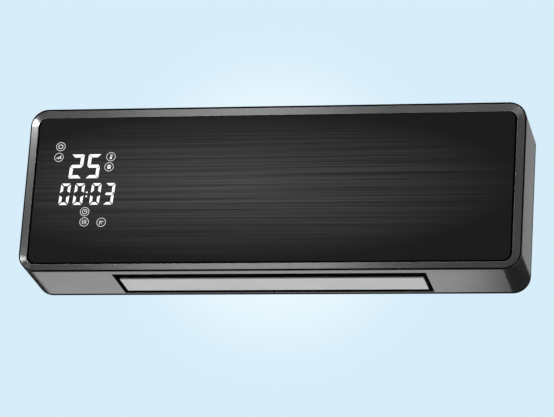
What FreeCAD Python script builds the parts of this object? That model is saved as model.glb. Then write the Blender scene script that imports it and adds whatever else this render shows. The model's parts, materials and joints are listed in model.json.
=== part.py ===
"""Wall-mounted fan heater with a digital display, built as it comes apart on a bench.

Row frame: +X to the right as seen from the room, +Y into the wall, +Z up, in millimetres.
The origin is on the wall, at the centre of the wall plate's four screw holes. The room is at -Y.
"""
import math
import os

import FreeCAD
import Part

V = FreeCAD.Vector

# ---- outside ----------------------------------------------------------------
WIDTH, HEIGHT, DEPTH = 545.0, 187.0, 84.0
CORNER_R = 19.0
WALL = 2.5
BEVEL_DEPTH = 2.5
TRIM_OUTER = (-271.0, 271.0, -92.4, 91.3, 17.6)     # x0, x1, z0, z1 and corner radius
TRIM_INNER = (-263.2, 263.2, -86.6, 82.3, 9.5)
TRIM_SIDE = 0.4         # flat edge of the trim behind its bevel
CARRIER_SIDE = 0.8      # edge of the carrier
SHADOW_GAP = 1.6        # groove between the carrier and the housing
COVER_RIM = 5.6         # edge of the rear cover that shows
RIM_ROUND = 0.6         # rounding of the housing's front edge and the cover's back edge
FIT = 0.1               # clearance of a moulded tongue in its shell
TONGUE = 2.5            # thickness of the locating tongues

TOP_Z = HEIGHT / 2
BOTTOM_Z = -HEIGHT / 2
LEFT_X = -WIDTH / 2
INNER_TOP_Z = TOP_Z - WALL
INNER_BOTTOM_Z = BOTTOM_Z + WALL

FRONT_Y = -DEPTH
BEVEL_Y = FRONT_Y + BEVEL_DEPTH
CARRIER_RIM_Y = BEVEL_Y + CARRIER_SIDE
SHELL_FRONT_Y = CARRIER_RIM_Y + SHADOW_GAP
SHELL_BACK_Y = -COVER_RIM

# ---- front panel ------------------------------------------------------------
PANEL_EDGE = (-260.9, 260.9, -84.5, 81.9, 8.0)      # leaves a black groove inside the trim
TAPE_EDGE = (-259.6, 259.6, -83.1, 80.6, 7.0)
TAPE_INNER = (-255.5, 255.5, -78.3, 76.1, 4.0)
PANEL_RECESS = 0.4
PANEL_T = 2.6
TAPE_T = 0.4
CARRIER_T = 2.0
PANEL_Y = FRONT_Y + PANEL_RECESS
TAPE_Y = PANEL_Y + PANEL_T
CARRIER_Y = TAPE_Y + TAPE_T
CARRIER_BACK_Y = CARRIER_Y + CARRIER_T
FLANGE_Y0, FLANGE_Y1 = -72.8, -70.8   # screw flange inside the housing
FLANGE_WIDTH = 14.0

# ---- rear cover and wall plate ----------------------------------------------
FLOOR_Y0, FLOOR_Y1 = -7.0, -4.8
PLATE_W, PLATE_H, PLATE_T = 424.0, 100.0, 1.2
PLATE_HOLES_X, PLATE_HOLES_Z, PLATE_HOLE_R = 340.0, 70.0, 2.5
HOOK_X, HOOK_W, HOOK_Z = 192.0, 22.0, 14.0
HOOK_REACH, HOOK_LIP = 10.2, 9.0    # how far the hooks stand out of the plate, and how far they turn up

# ---- air path ---------------------------------------------------------------
WHEEL_Y, WHEEL_Z, WHEEL_R = -40.0, 18.0, 27.0
WHEEL_HALF = 165.0
SHAFT_R = 3.0
RUNNING = 0.05          # radial clearance of a shaft in its bush
DUCT_HALF = 169.0       # inside half-length of the duct
DUCT_T = 2.0
DUCT_SHEET_T = 1.8
DUCT_REAR_Y, DUCT_FRONT_Y = -10.5, -53.0
DUCT_FOOT_Z = -80.0
GASKET_T = 1.5

DUCT_FOOT_Y = FLOOR_Y0 - 1.6        # back edge of the end plates, on their feet

# ---- fan ----------------------------------------------------------------------
BLADES = 26
BLADE_T = 0.9
WHEEL_INNER_R = 19.0
BEARING_R = 9.0
MOTOR_X0, MOTOR_X1 = 200.0, 220.0
ROTOR_R = 13.0
MOTOR_POSTS = [(-62.0, 40.0), (-18.0, -6.0)]
BRACKET_T = 2.0

# ---- heater -------------------------------------------------------------------
PTC_Z0, PTC_Z1 = -60.0, -42.0
PTC_HALF = 156.0
PTC_MIDDLE_Y = (DUCT_REAR_Y + DUCT_FRONT_Y) / 2
TUBE_HALF = 4.0
FIN_OUT = 15.5
FIN_PITCH, FIN_FOLD = 4.0, 1.1      # FIN_FOLD is the folded strip's thickness across its row
STRIP_T = 1.2
STONE_COUNT, STONE_L, STONE_PITCH = 12, 24.0, 25.6
TAB_Z = (PTC_Z0 + PTC_Z1) / 2 - 1.0

# ---- outlet and louver ------------------------------------------------------
OUTLET_HALF = 170.5
OUTLET_Y0, OUTLET_Y1 = -69.6, -7.0
THROAT_HALF = 167.0
THROAT_Y0, THROAT_Y1 = -52.5, -10.5
THROAT_T = 2.0
FRAME_TOP_Z = DUCT_FOOT_Z - GASKET_T
VANE_HALF = 165.5
VANE_Y0, VANE_Y1 = -53.9, -15.0
VANE_T = 2.5
PIVOT_Y, PIVOT_Z, PIVOT_R = -26.0, -87.0, 2.5
PIVOT_BLOCK_X = 173.3   # outer face of the blocks that carry the louver's pivots
LUG_T = 3.0
LOUVER_MOTOR_R, LOUVER_MOTOR_OFFSET = 12.0, 8.5
LOUVER_EAR_T = 1.2
LOUVER_MOTOR_X0 = PIVOT_BLOCK_X + LOUVER_EAR_T
LOUVER_MOTOR_X1 = LOUVER_MOTOR_X0 + 15.0
LOUVER_BORE = 4.0

# ---- intake -----------------------------------------------------------------
INTAKE_HALF = 190.0
INTAKE_Y0, INTAKE_Y1 = -62.0, -14.0
LEDGE = 3.0
LEDGE_T = 1.5

# ---- electrics ----------------------------------------------------------------
BOARD_X0, BOARD_X1, BOARD_Z0, BOARD_Z1 = -249.0, -187.0, -48.0, 66.0
BOARD_Y0, BOARD_Y1 = -14.0, -12.4
BOARD_SPOTS = [(x, z) for x in (BOARD_X0 + 4, BOARD_X1 - 4) for z in (BOARD_Z0 + 4, BOARD_Z1 - 4)]
SWITCH_Y, SWITCH_Z = -40.0, -18.0
SWITCH_PIVOT_X = LEFT_X + 4.0
SWITCH_TILT = 8.0
GLAND_Y, GLAND_Z, CORD_R = -14.5, -62.0, 4.0

# ---- display ------------------------------------------------------------------
BOX_X0, BOX_X1, BOX_Z0, BOX_Z1 = -243.5, -171.5, -46.0, 56.0
BOX_BACK_Y = -72.0
DISPLAY_BOARD_T = 1.6
SEGMENTS = {"0": "abcdef", "2": "abged", "3": "abgcd", "5": "afgcd"}
SLANT = 0.072
ZERO_GAP = 1.1          # extra space between the upper and lower bars of a zero
BIG = {"w": 14.3, "h": 27.7, "t": 3.6, "gap": 0.45, "z": 12.0}
SMALL = {"w": 10.8, "h": 24.7, "t": 2.9, "gap": 0.75, "z": -18.6}
BIG_CHARS = [("2", -224.3), ("5", -205.2)]
SMALL_CHARS = [("0", -233.0), ("0", -217.2), ("0", -198.6), ("3", -183.3)]
COLON = [(-202.4, -8.9), (-202.0, -4.3)]
COLON_R = 1.0
INLAY_T = 0.3
ICON_R, ICON_LINE = 5.1, 0.5
ICONS = {
    "power": (-235.8, 49.1),
    "fan_speed": (-236.9, 36.6),
    "temperature": (-178.5, 36.6),
    "room": (-179.7, 24.9),
    "timer": (-202.6, -26.6),
    "heat": (-202.2, -38.3),
    "swing": (-183.2, -38.9),
}

# ---- fasteners --------------------------------------------------------------
FRONT_SCREW_SPOTS = [(x, z) for x in (-232, -80, 80, 232) for z in (-83.5, 83.5)]
COVER_SCREW_SPOTS = [(x, z) for x in (-257, 257) for z in (-78, 78)]
COVER_SCREW_SPOTS += [(x, z) for x in (-205, 205) for z in (-83, 83)]
DUCT_SCREW_SPOTS = [(x, z) for x in (-178, 178) for z in (-62, 48)]

nodes = {}


# ---- shape helpers ----------------------------------------------------------
def box(x0, x1, y0, y1, z0, z1):
    return Part.makeBox(x1 - x0, y1 - y0, z1 - z0, V(x0, y0, z0))


def rod(axis, start, end, radius, a, b):
    """A cylinder along axis from start to end; a and b are its other two coordinates in x, y, z order."""
    base = {"x": V(start, a, b), "y": V(a, start, b), "z": V(a, b, start)}[axis]
    way = {"x": V(1, 0, 0), "y": V(0, 1, 0), "z": V(0, 0, 1)}[axis]
    return Part.makeCylinder(radius, end - start, base, way)


def fuse(shapes):
    shapes = list(shapes)
    return shapes[0].multiFuse(shapes[1:]).removeSplitter() if len(shapes) > 1 else shapes[0]


def cut(shape, tools):
    return shape.cut(list(tools))


def group(shapes):
    return Part.makeCompound(list(shapes))


def rounded_wire(x0, x1, z0, z1, r, y):
    """A rectangle with round corners in the plane at y, anticlockwise as seen from the room."""
    k = r * math.sqrt(0.5)
    edges = []
    corners = [(x1 - r, z0 + r, 1, -1), (x1 - r, z1 - r, 1, 1),
               (x0 + r, z1 - r, -1, 1), (x0 + r, z0 + r, -1, -1)]
    ends = []
    for cx, cz, sx, sz in corners:
        first, last = (V(cx, y, cz + sz * r), V(cx + sx * r, y, cz))
        if sx * sz > 0:
            first, last = last, first
        ends.append((first, V(cx + sx * k, y, cz + sz * k), last))
    for i, (first, middle, last) in enumerate(ends):
        edges.append(Part.LineSegment(ends[i - 1][2], first).toShape())
        edges.append(Part.Arc(first, middle, last).toShape())
    return Part.Wire(Part.__sortEdges__(edges))


def slab(x0, x1, z0, z1, r, y0, y1):
    """A plate with round corners, parallel to the wall."""
    return Part.Face(rounded_wire(x0, x1, z0, z1, r, y0)).extrude(V(0, y1 - y0, 0))


def outline_wire(inset, y):
    half_w, half_h = WIDTH / 2 - inset, HEIGHT / 2 - inset
    return rounded_wire(-half_w, half_w, -half_h, half_h, CORNER_R - inset, y)


def outline_slab(inset, y0, y1):
    """The heater's outline, moved in by inset, from y0 to y1."""
    return Part.Face(outline_wire(inset, y0)).extrude(V(0, y1 - y0, 0))


def outline_ring(outer_inset, inner_inset, y0, y1):
    return outline_slab(outer_inset, y0, y1).cut(outline_slab(inner_inset, y0, y1))


def round_rim(shape, y, radius):
    """Round the outer edge that runs round the heater's outline at y."""
    def on_rim(edge):
        box_ = edge.BoundBox
        outer = max(abs(box_.XMin), abs(box_.XMax)) > WIDTH / 2 - CORNER_R
        outer = outer or max(abs(box_.ZMin), abs(box_.ZMax)) > HEIGHT / 2 - CORNER_R
        return outer and abs(box_.YMin - y) < 1e-6 and abs(box_.YMax - y) < 1e-6
    return shape.makeFillet(radius, [edge for edge in shape.Edges if on_rim(edge)])


def prism_x(points, x0, x1):
    """A closed outline of (y, z) points, drawn out along X."""
    wire = Part.makePolygon([V(x0, y, z) for y, z in points + points[:1]])
    return Part.Face(wire).extrude(V(x1 - x0, 0, 0))


def prism_y(points, y0, y1):
    """A closed outline of (x, z) points, drawn out along Y."""
    wire = Part.makePolygon([V(x, y0, z) for x, z in points + points[:1]])
    return Part.Face(wire).extrude(V(0, y1 - y0, 0))


def prism_z(points, z0, z1):
    """A closed outline of (x, y) points, drawn out along Z."""
    wire = Part.makePolygon([V(x, y, z0) for x, y in points + points[:1]])
    return Part.Face(wire).extrude(V(0, 0, z1 - z0))


def sheet_x(path, thickness, x0, x1):
    """A bent sheet: the (y, z) path given as edges in the plane x0, thickened and drawn out along X."""
    wire = Part.Wire(path)
    outer = wire.makeOffset2D(thickness, 0, False, True)
    ends = [outer.Vertexes, wire.Vertexes]
    first = Part.LineSegment(wire.Vertexes[0].Point, nearest(ends[0], wire.Vertexes[0].Point)).toShape()
    last = Part.LineSegment(wire.Vertexes[-1].Point, nearest(ends[0], wire.Vertexes[-1].Point)).toShape()
    loop = Part.Wire(Part.__sortEdges__(wire.Edges + outer.Edges + [first, last]))
    return Part.Face(loop).extrude(V(x1 - x0, 0, 0))


def nearest(vertexes, point):
    return min((v.Point for v in vertexes), key=lambda p: p.distanceToPoint(point))


def screw(axis, seat, tip, a, b, shank_r=1.5, head_r=2.8, head_h=2.0):
    """A pan-head screw: its head sits on seat, on the side away from the tip, and has a cross slot."""
    way = 1 if seat > tip else -1
    top = seat + way * abs(head_h)
    head = rod(axis, min(seat, top), max(seat, top), head_r, a, b)
    shank = rod(axis, min(tip, seat), max(tip, seat), shank_r, a, b)
    size = {"x": (1.6, 0.6, 3.2), "y": (0.6, 1.6, 3.2), "z": (0.6, 3.2, 1.6)}[axis]
    middle = {"x": V(top, a, b), "y": V(a, top, b), "z": V(a, b, top)}[axis]
    slot = Part.makeBox(*size, middle - V(*size) / 2)
    turned = slot.copy()
    turned.rotate(middle, {"x": V(1, 0, 0), "y": V(0, 1, 0), "z": V(0, 0, 1)}[axis], 90)
    return head.fuse(shank).removeSplitter().cut([slot, turned])


# ---- the lit display ---------------------------------------------------------

def digit_outlines(char, x, style):
    """The lit segments of a seven-segment digit as lists of (x, z) points."""
    w, h, t, g, z0 = (style[k] for k in ("w", "h", "t", "gap", "z"))
    m = h / 2
    top = [(g, h), (w - g, h), (w - t - g, h - t), (t + g, h - t)]
    half = t / 2
    k = ZERO_GAP if char == "0" else 0.0
    left = [(0, h - g - k / 2), (t, h - t - g - k / 2), (t, m + half + g + k), (half, m + half + g + k / 2),
            (0, m + g + k / 2)]
    middle = [(g, m), (half + g, m + half), (w - half - g, m + half), (w - g, m), (w - half - g, m - half),
              (half + g, m - half)]
    low_left = [(px, h - pz) for px, pz in left]
    right = [(w - px, pz) for px, pz in left]
    low_right = [(w - px, h - pz) for px, pz in left]
    bottom = [(px, h - pz) for px, pz in top]
    shapes = {"a": top, "b": right, "c": low_right, "d": bottom, "e": low_left, "f": left, "g": middle}
    return [[(x + px + SLANT * pz, z0 + pz) for px, pz in shapes[s]] for s in SEGMENTS[char]]


def digit_inlays():
    outlines = []
    for chars, style in ((BIG_CHARS, BIG), (SMALL_CHARS, SMALL)):
        for char, x in chars:
            outlines += digit_outlines(char, x, style)
    inlays = [prism_y(points, PANEL_Y, PANEL_Y + INLAY_T) for points in outlines]
    inlays += [rod("y", PANEL_Y, PANEL_Y + INLAY_T, COLON_R, x, z) for x, z in COLON]
    return inlays


def ring(x, z, outer, inner):
    y1 = PANEL_Y + INLAY_T
    return rod("y", PANEL_Y, y1, outer, x, z).cut(rod("y", PANEL_Y, y1, inner, x, z))


def bar(x, z, w, h):
    return box(x - w / 2, x + w / 2, PANEL_Y, PANEL_Y + INLAY_T, z - h / 2, z + h / 2)


def icon_inlays():
    """Seven round marks with plain pictograms for what the heater does."""
    marks = [ring(x, z, ICON_R, ICON_R - ICON_LINE) for x, z in ICONS.values()]
    y0, y1 = PANEL_Y, PANEL_Y + INLAY_T
    x, z = ICONS["power"]
    marks.append(ring(x, z, 2.7, 2.0).cut(bar(x, z + 2.4, 2.4, 2.0)))
    marks.append(bar(x, z + 2.0, 0.7, 2.2))
    x, z = ICONS["fan_speed"]
    marks += [bar(x - 1.9 + 1.9 * i, z - 1.1 + 0.55 * i, 1.1, 1.6 + 1.1 * i) for i in range(3)]
    x, z = ICONS["temperature"]
    stem = bar(x, z + 0.9, 1.1, 3.6)
    marks.append(fuse([rod("y", y0, y1, 1.3, x, z - 1.6), stem]))
    marks += [bar(x + 1.7, z + 0.4 + i, 1.0, 0.4) for i in range(3)]
    x, z = ICONS["room"]
    marks.append(prism_y([(x - 2.8, z + 0.4), (x + 2.8, z + 0.4), (x, z + 2.8)], y0, y1))
    marks.append(bar(x, z - 1.2, 3.6, 2.4))
    x, z = ICONS["timer"]
    marks.append(ring(x, z, 2.9, 2.3))
    marks.append(fuse([bar(x, z + 0.8, 0.5, 1.9), bar(x + 0.7, z, 1.7, 0.5)]))
    x, z = ICONS["heat"]
    for i in (-1, 0, 1):
        wave = [(0.0, -2.5), (0.7, -1.2), (0.0, 0.0), (0.7, 1.2), (0.0, 2.5)]
        left = [(x + 1.9 * i + px - 0.7, z + pz) for px, pz in wave]
        right = [(px + 0.65, pz) for px, pz in reversed(left)]
        marks.append(prism_y(left + right, y0, y1))
    x, z = ICONS["swing"]
    for i in range(3):
        a = math.radians(-20 - 32 * i)
        along, across = (math.cos(a), math.sin(a)), (math.sin(a), -math.cos(a))
        ray = [(reach * along[0] + off * across[0], reach * along[1] + off * across[1])
               for reach, off in ((1.2, 0.3), (5.2, 0.3), (5.2, -0.3), (1.2, -0.3))]
        marks.append(prism_y([(x - 2.2 + px, z + 2.2 + pz) for px, pz in ray], y0, y1))
    return marks


def front_panel():
    """Black printed panel; the lit marks are clear windows in its print, flush with its face."""
    panel = slab(*PANEL_EDGE, PANEL_Y, TAPE_Y)
    digits, icons = digit_inlays(), icon_inlays()
    nodes["display_digits"] = group(digits)
    nodes["display_icons"] = group(icons)
    nodes["front_panel"] = cut(panel, digits + icons)
    nodes["panel_tape"] = slab(*TAPE_EDGE, TAPE_Y, CARRIER_Y).cut(slab(*TAPE_INNER, TAPE_Y, CARRIER_Y))


# ---- display module ----------------------------------------------------------
def display_module():
    """White light box with a well behind each digit and mark, on its own board."""
    light_box = box(BOX_X0, BOX_X1, CARRIER_Y, BOX_BACK_Y, BOX_Z0, BOX_Z1)
    wells, leds = [], []
    for chars, style in ((BIG_CHARS, BIG), (SMALL_CHARS, SMALL)):
        for char, x in chars:
            for points in digit_outlines(char, x, style):
                wells.append(prism_y(points, CARRIER_Y, BOX_BACK_Y))
                cx = sum(p[0] for p in points) / len(points)
                cz = sum(p[1] for p in points) / len(points)
                leds.append(box(cx - 0.8, cx + 0.8, BOX_BACK_Y - 0.7, BOX_BACK_Y, cz - 0.5, cz + 0.5))
    for x, z in ICONS.values():
        wells.append(rod("y", CARRIER_Y, BOX_BACK_Y, ICON_R, x, z))
        leds.append(box(x - 0.8, x + 0.8, BOX_BACK_Y - 0.7, BOX_BACK_Y, z - 0.5, z + 0.5))
    nodes["display_light_box"] = cut(light_box, wells)
    nodes["display_leds"] = group(leds)
    board = box(BOX_X0, BOX_X1, BOX_BACK_Y, BOX_BACK_Y + DISPLAY_BOARD_T, BOX_Z0 - 6, BOX_Z1 + 6)
    spots = [(x, z) for x in (BOX_X0 + 4, BOX_X1 - 4) for z in (BOX_Z0 - 3, BOX_Z1 + 3)]
    nodes["display_board"] = cut(board, [rod("y", BOX_BACK_Y, BOX_BACK_Y + 2, 1.2, x, z) for x, z in spots])
    back = BOX_BACK_Y + DISPLAY_BOARD_T
    screws = [screw("y", back, CARRIER_BACK_Y + 2.2, x, z, 1.1, 2.2, 1.4) for x, z in spots]
    return spots, screws


# ---- casing --------------------------------------------------------------------
def front_trim():
    """Silver bevelled frame bonded to the front of the carrier."""
    outer = rounded_wire(*TRIM_OUTER, BEVEL_Y - TRIM_SIDE)
    inner = rounded_wire(*TRIM_INNER, FRONT_Y)
    bevel = Part.makeLoft([outer, inner], True, True)
    side = slab(*TRIM_OUTER, BEVEL_Y - TRIM_SIDE, BEVEL_Y)
    nodes["front_trim"] = cut(fuse([bevel, side]), [slab(*TRIM_INNER, FRONT_Y, BEVEL_Y)])


def panel_carrier(display_spots):
    """Black moulding that holds the panel, the trim and the display, with a tongue into the housing."""
    side = outline_slab(0, BEVEL_Y, CARRIER_RIM_Y)
    plate = outline_slab(WALL + FIT, CARRIER_RIM_Y, CARRIER_BACK_Y)
    tongue = outline_ring(WALL + FIT, WALL + FIT + TONGUE, CARRIER_RIM_Y, FLANGE_Y0 - 0.2)
    bosses = [rod("y", CARRIER_BACK_Y, FLANGE_Y0, 3.5, x, z) for x, z in FRONT_SCREW_SPOTS]
    posts = [rod("y", CARRIER_BACK_Y, BOX_BACK_Y, 2.2, x, z) for x, z in display_spots]
    body = fuse([side, plate, tongue] + bosses + posts)
    pocket = slab(*TRIM_INNER, BEVEL_Y, CARRIER_Y)
    window = box(BOX_X0 - 0.2, BOX_X1 + 0.2, CARRIER_Y, CARRIER_BACK_Y, BOX_Z0 - 0.2, BOX_Z1 + 0.2)
    pilots = [rod("y", CARRIER_BACK_Y + 0.4, FLANGE_Y0, 1.5, x, z) for x, z in FRONT_SCREW_SPOTS]
    pilots += [rod("y", CARRIER_BACK_Y + 2, BOX_BACK_Y, 1.1, x, z) for x, z in display_spots]
    nodes["panel_carrier"] = cut(body, [pocket, window] + pilots)
    nodes["front_screws"] = group(
        screw("y", FLANGE_Y1, CARRIER_BACK_Y + 0.8, x, z) for x, z in FRONT_SCREW_SPOTS)


def housing_shell():
    """Tube of the casing: open front and back, air inlet on top, air outlet below."""
    outside = round_rim(outline_slab(0, SHELL_FRONT_Y, SHELL_BACK_Y), SHELL_FRONT_Y, RIM_ROUND)
    tube = outside.cut(outline_slab(WALL, SHELL_FRONT_Y, SHELL_BACK_Y))
    flange = outline_ring(WALL - 0.5, FLANGE_WIDTH, FLANGE_Y0, FLANGE_Y1)
    ledge = box(-INTAKE_HALF - 4, INTAKE_HALF + 4, INTAKE_Y0 - 4, INTAKE_Y1 + 4, INNER_TOP_Z - LEDGE_T,
                INNER_TOP_Z + 0.5)
    bosses = [rod("y", FLANGE_Y1 - 0.5, FLOOR_Y0, 4.0, x, z) for x, z in COVER_SCREW_SPOTS]
    body = fuse([tube, flange, ledge] + bosses)
    intake = box(-INTAKE_HALF, INTAKE_HALF, INTAKE_Y0, INTAKE_Y1, INNER_TOP_Z, TOP_Z)
    intake_hole = box(-INTAKE_HALF + LEDGE, INTAKE_HALF - LEDGE, INTAKE_Y0 + LEDGE, INTAKE_Y1 - LEDGE,
                      INNER_TOP_Z - LEDGE_T, INNER_TOP_Z)
    outlet = box(-OUTLET_HALF, OUTLET_HALF, OUTLET_Y0, OUTLET_Y1, BOTTOM_Z, INNER_BOTTOM_Z)
    switch = box(LEFT_X, LEFT_X + WALL, SWITCH_Y - 6.4, SWITCH_Y + 6.4, SWITCH_Z - 9.6, SWITCH_Z + 9.6)
    notch = box(LEFT_X, LEFT_X + WALL, GLAND_Y - 7.5, SHELL_BACK_Y, GLAND_Z - 7.5, GLAND_Z + 7.5)
    pilots = [rod("y", -18, FLOOR_Y0, 1.5, x, z) for x, z in COVER_SCREW_SPOTS]
    holes = [rod("y", FLANGE_Y0, FLANGE_Y1, 1.7, x, z) for x, z in FRONT_SCREW_SPOTS]
    nodes["housing_shell"] = cut(body, [intake, intake_hole, outlet, switch, notch] + pilots + holes)


def rear_cover():
    """Shallow tray that closes the back and takes the wall plate in its recess."""
    outside = round_rim(outline_slab(0, SHELL_BACK_Y, 0), 0, RIM_ROUND)
    rim = outside.cut(outline_slab(WALL + FIT + TONGUE, SHELL_BACK_Y, 0))
    tongue = outline_ring(WALL + FIT, WALL + FIT + TONGUE, FLOOR_Y0, SHELL_BACK_Y)
    floor = outline_slab(WALL + FIT, FLOOR_Y0, FLOOR_Y1)
    posts = [rod("y", BOARD_Y1, FLOOR_Y0, 3.2, x, z) for x, z in BOARD_SPOTS]
    body = fuse([rim, tongue, floor] + posts)
    windows = [box(x - HOOK_W / 2 - 2, x + HOOK_W / 2 + 2, FLOOR_Y0, FLOOR_Y1, HOOK_Z + PLATE_T - 15,
                   HOOK_Z + PLATE_T) for x in (-HOOK_X, HOOK_X)]
    holes = [rod("y", FLOOR_Y0, FLOOR_Y1, 1.7, x, z) for x, z in COVER_SCREW_SPOTS]
    holes += [rod("y", FLOOR_Y0, FLOOR_Y1, 1.5, x, z) for x, z in DUCT_SCREW_SPOTS]
    holes += [rod("y", BOARD_Y1, FLOOR_Y0, 1.1, x, z) for x, z in BOARD_SPOTS]
    nodes["rear_cover"] = cut(body, windows + holes)
    nodes["cover_screws"] = group(screw("y", FLOOR_Y1, -17, x, z) for x, z in COVER_SCREW_SPOTS)


def wall_plate():
    """Pressed steel plate that is screwed to the wall; the heater hangs on its two hooks."""
    plate = slab(-PLATE_W / 2, PLATE_W / 2, -PLATE_H / 2, PLATE_H / 2, 8.0, -PLATE_T, 0)
    hooks = []
    for x in (-HOOK_X, HOOK_X):
        x0, x1 = x - HOOK_W / 2, x + HOOK_W / 2
        hooks.append(box(x0, x1, -HOOK_REACH, 0, HOOK_Z, HOOK_Z + PLATE_T))
        hooks.append(box(x0, x1, -HOOK_REACH, -HOOK_REACH + PLATE_T, HOOK_Z, HOOK_Z + HOOK_LIP))
    windows = [box(x - HOOK_W / 2 - 1, x + HOOK_W / 2 + 1, -PLATE_T, 0, HOOK_Z - 18, HOOK_Z)
               for x in (-HOOK_X, HOOK_X)]
    windows += [slab(x - 24, x + 24, -20, 20, 6.0, -PLATE_T, 0) for x in (-120, -60, 0, 60, 120)]
    half_x, half_z = PLATE_HOLES_X / 2, PLATE_HOLES_Z / 2
    holes = [rod("y", -PLATE_T, 0, PLATE_HOLE_R, x, z) for x in (-half_x, half_x) for z in (-half_z, half_z)]
    nodes["wall_plate"] = cut(fuse([plate] + hooks), windows + holes)


# ---- outlet ----------------------------------------------------------------------
def outlet_frame(motor_spots):
    """Black rim of the outlet with the louver's pivot blocks, snapped into the bottom of the housing."""
    half = THROAT_HALF + THROAT_T
    y0, y1 = THROAT_Y0 - THROAT_T, THROAT_Y1 + THROAT_T
    face = box(-OUTLET_HALF, OUTLET_HALF, OUTLET_Y0, OUTLET_Y1, BOTTOM_Z + 1.0, INNER_BOTTOM_Z)
    flange = box(-OUTLET_HALF - 2, OUTLET_HALF + 2, OUTLET_Y0 - 1.0, OUTLET_Y1, INNER_BOTTOM_Z,
                 INNER_BOTTOM_Z + 1.5)
    collar = box(-half, half, y0, y1, INNER_BOTTOM_Z, FRAME_TOP_Z)
    blocks = []
    for side in (-1, 1):
        x0, x1 = sorted((side * THROAT_HALF, side * PIVOT_BLOCK_X))
        blocks.append(box(x0, x1, PIVOT_Y - 8, PIVOT_Y + 8, INNER_BOTTOM_Z, FRAME_TOP_Z))
    bracket = box(DUCT_HALF + DUCT_T + 0.3, PIVOT_BLOCK_X, PIVOT_Y - 18.5, PIVOT_Y + 17.6, INNER_BOTTOM_Z,
                  PIVOT_Z + LOUVER_MOTOR_OFFSET + 6)
    throat = box(-THROAT_HALF, THROAT_HALF, THROAT_Y0, THROAT_Y1, BOTTOM_Z, FRAME_TOP_Z)
    seat = box(-THROAT_HALF, THROAT_HALF, VANE_Y0 - 0.8, THROAT_Y0, BOTTOM_Z, BOTTOM_Z + VANE_T + 0.5)
    bores = [rod("x", -PIVOT_BLOCK_X, -THROAT_HALF, PIVOT_R + RUNNING, PIVOT_Y, PIVOT_Z),
             rod("x", THROAT_HALF, PIVOT_BLOCK_X, PIVOT_R + 0.5, PIVOT_Y, PIVOT_Z)]
    pilots = [rod("x", DUCT_HALF + DUCT_T, PIVOT_BLOCK_X, 1.1, y, z) for y, z in motor_spots]
    body = fuse([face, flange, collar, bracket] + blocks)
    nodes["outlet_frame"] = cut(body, [throat, seat] + bores + pilots)
    seal = box(-half, half, y0, y1, FRAME_TOP_Z, DUCT_FOOT_Z)
    inside = box(-THROAT_HALF, THROAT_HALF, THROAT_Y0, THROAT_Y1, FRAME_TOP_Z, DUCT_FOOT_Z)
    nodes["outlet_gasket"] = cut(seal, [inside])


def louver():
    """Flap that closes the outlet, flush with the bottom when shut, on a pin and its motor's shaft."""
    slat = box(-VANE_HALF, VANE_HALF, VANE_Y0, VANE_Y1, BOTTOM_Z, BOTTOM_Z + VANE_T)
    slat = slat.makeFillet(0.9, [e for e in slat.Edges if abs(e.Length - 2 * VANE_HALF) < 0.1])
    stiffener = box(-VANE_HALF + 3, VANE_HALF - 3, PIVOT_Y - 1, PIVOT_Y + 1, BOTTOM_Z + 1,
                    BOTTOM_Z + VANE_T + 2)
    lugs = []
    for side in (-1, 1):
        x0, x1 = sorted((side * VANE_HALF, side * (VANE_HALF - LUG_T)))
        web = [(PIVOT_Y - 9, BOTTOM_Z + 1), (PIVOT_Y + 9, BOTTOM_Z + 1), (PIVOT_Y + 4, PIVOT_Z),
               (PIVOT_Y - 4, PIVOT_Z)]
        lugs.append(prism_x(web, x0, x1))
        lugs.append(rod("x", x0, x1, 4.0, PIVOT_Y, PIVOT_Z))
    pin = rod("x", -PIVOT_BLOCK_X + 0.3, -VANE_HALF, PIVOT_R, PIVOT_Y, PIVOT_Z)
    vane = fuse([slat, stiffener] + lugs + [pin])
    socket = rod("x", VANE_HALF - LUG_T, VANE_HALF, PIVOT_R, PIVOT_Y, PIVOT_Z)
    nodes["louver_vane"] = cut(vane, [socket])


def louver_motor():
    """Geared stepper motor in a round can, with its shaft set off from the can's middle."""
    cz = PIVOT_Z + LOUVER_MOTOR_OFFSET
    spots = [(PIVOT_Y - 15, cz), (PIVOT_Y + 14.6, cz)]
    can = rod("x", LOUVER_MOTOR_X0, LOUVER_MOTOR_X1, LOUVER_MOTOR_R, PIVOT_Y, cz)
    ears = box(PIVOT_BLOCK_X, LOUVER_MOTOR_X0, spots[0][0] - 2.8, spots[1][0] + 2.8, cz - 3.5, cz + 3.5)
    front = rod("x", PIVOT_BLOCK_X, LOUVER_MOTOR_X0, LOUVER_MOTOR_R, PIVOT_Y, cz)
    hood = box(LOUVER_MOTOR_X0 + 2, LOUVER_MOTOR_X1 - 2, PIVOT_Y - 7, PIVOT_Y + 7, cz + 8, cz + 14.5)
    bore = rod("x", PIVOT_BLOCK_X, LOUVER_MOTOR_X0 + LOUVER_BORE, PIVOT_R + RUNNING, PIVOT_Y, PIVOT_Z)
    holes = [rod("x", PIVOT_BLOCK_X, LOUVER_MOTOR_X0, 1.1, y, z) for y, z in spots]
    nodes["louver_motor"] = cut(fuse([can, front, ears, hood]), [bore] + holes)
    shaft_end = LOUVER_MOTOR_X0 + LOUVER_BORE - 0.2
    nodes["louver_motor_shaft"] = rod("x", VANE_HALF - LUG_T, shaft_end, PIVOT_R, PIVOT_Y, PIVOT_Z)
    nodes["louver_motor_screws"] = group(
        screw("x", LOUVER_MOTOR_X0, DUCT_HALF + DUCT_T + 0.4, y, z, 1.1, 2.0, 1.2) for y, z in spots)
    return spots


# ---- duct ------------------------------------------------------------------------
def yz(y, z):
    return V(-DUCT_HALF, y, z)


def around_wheel(radius, degrees):
    a = math.radians(degrees)
    return yz(WHEEL_Y + radius * math.cos(a), WHEEL_Z + radius * math.sin(a))


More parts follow.
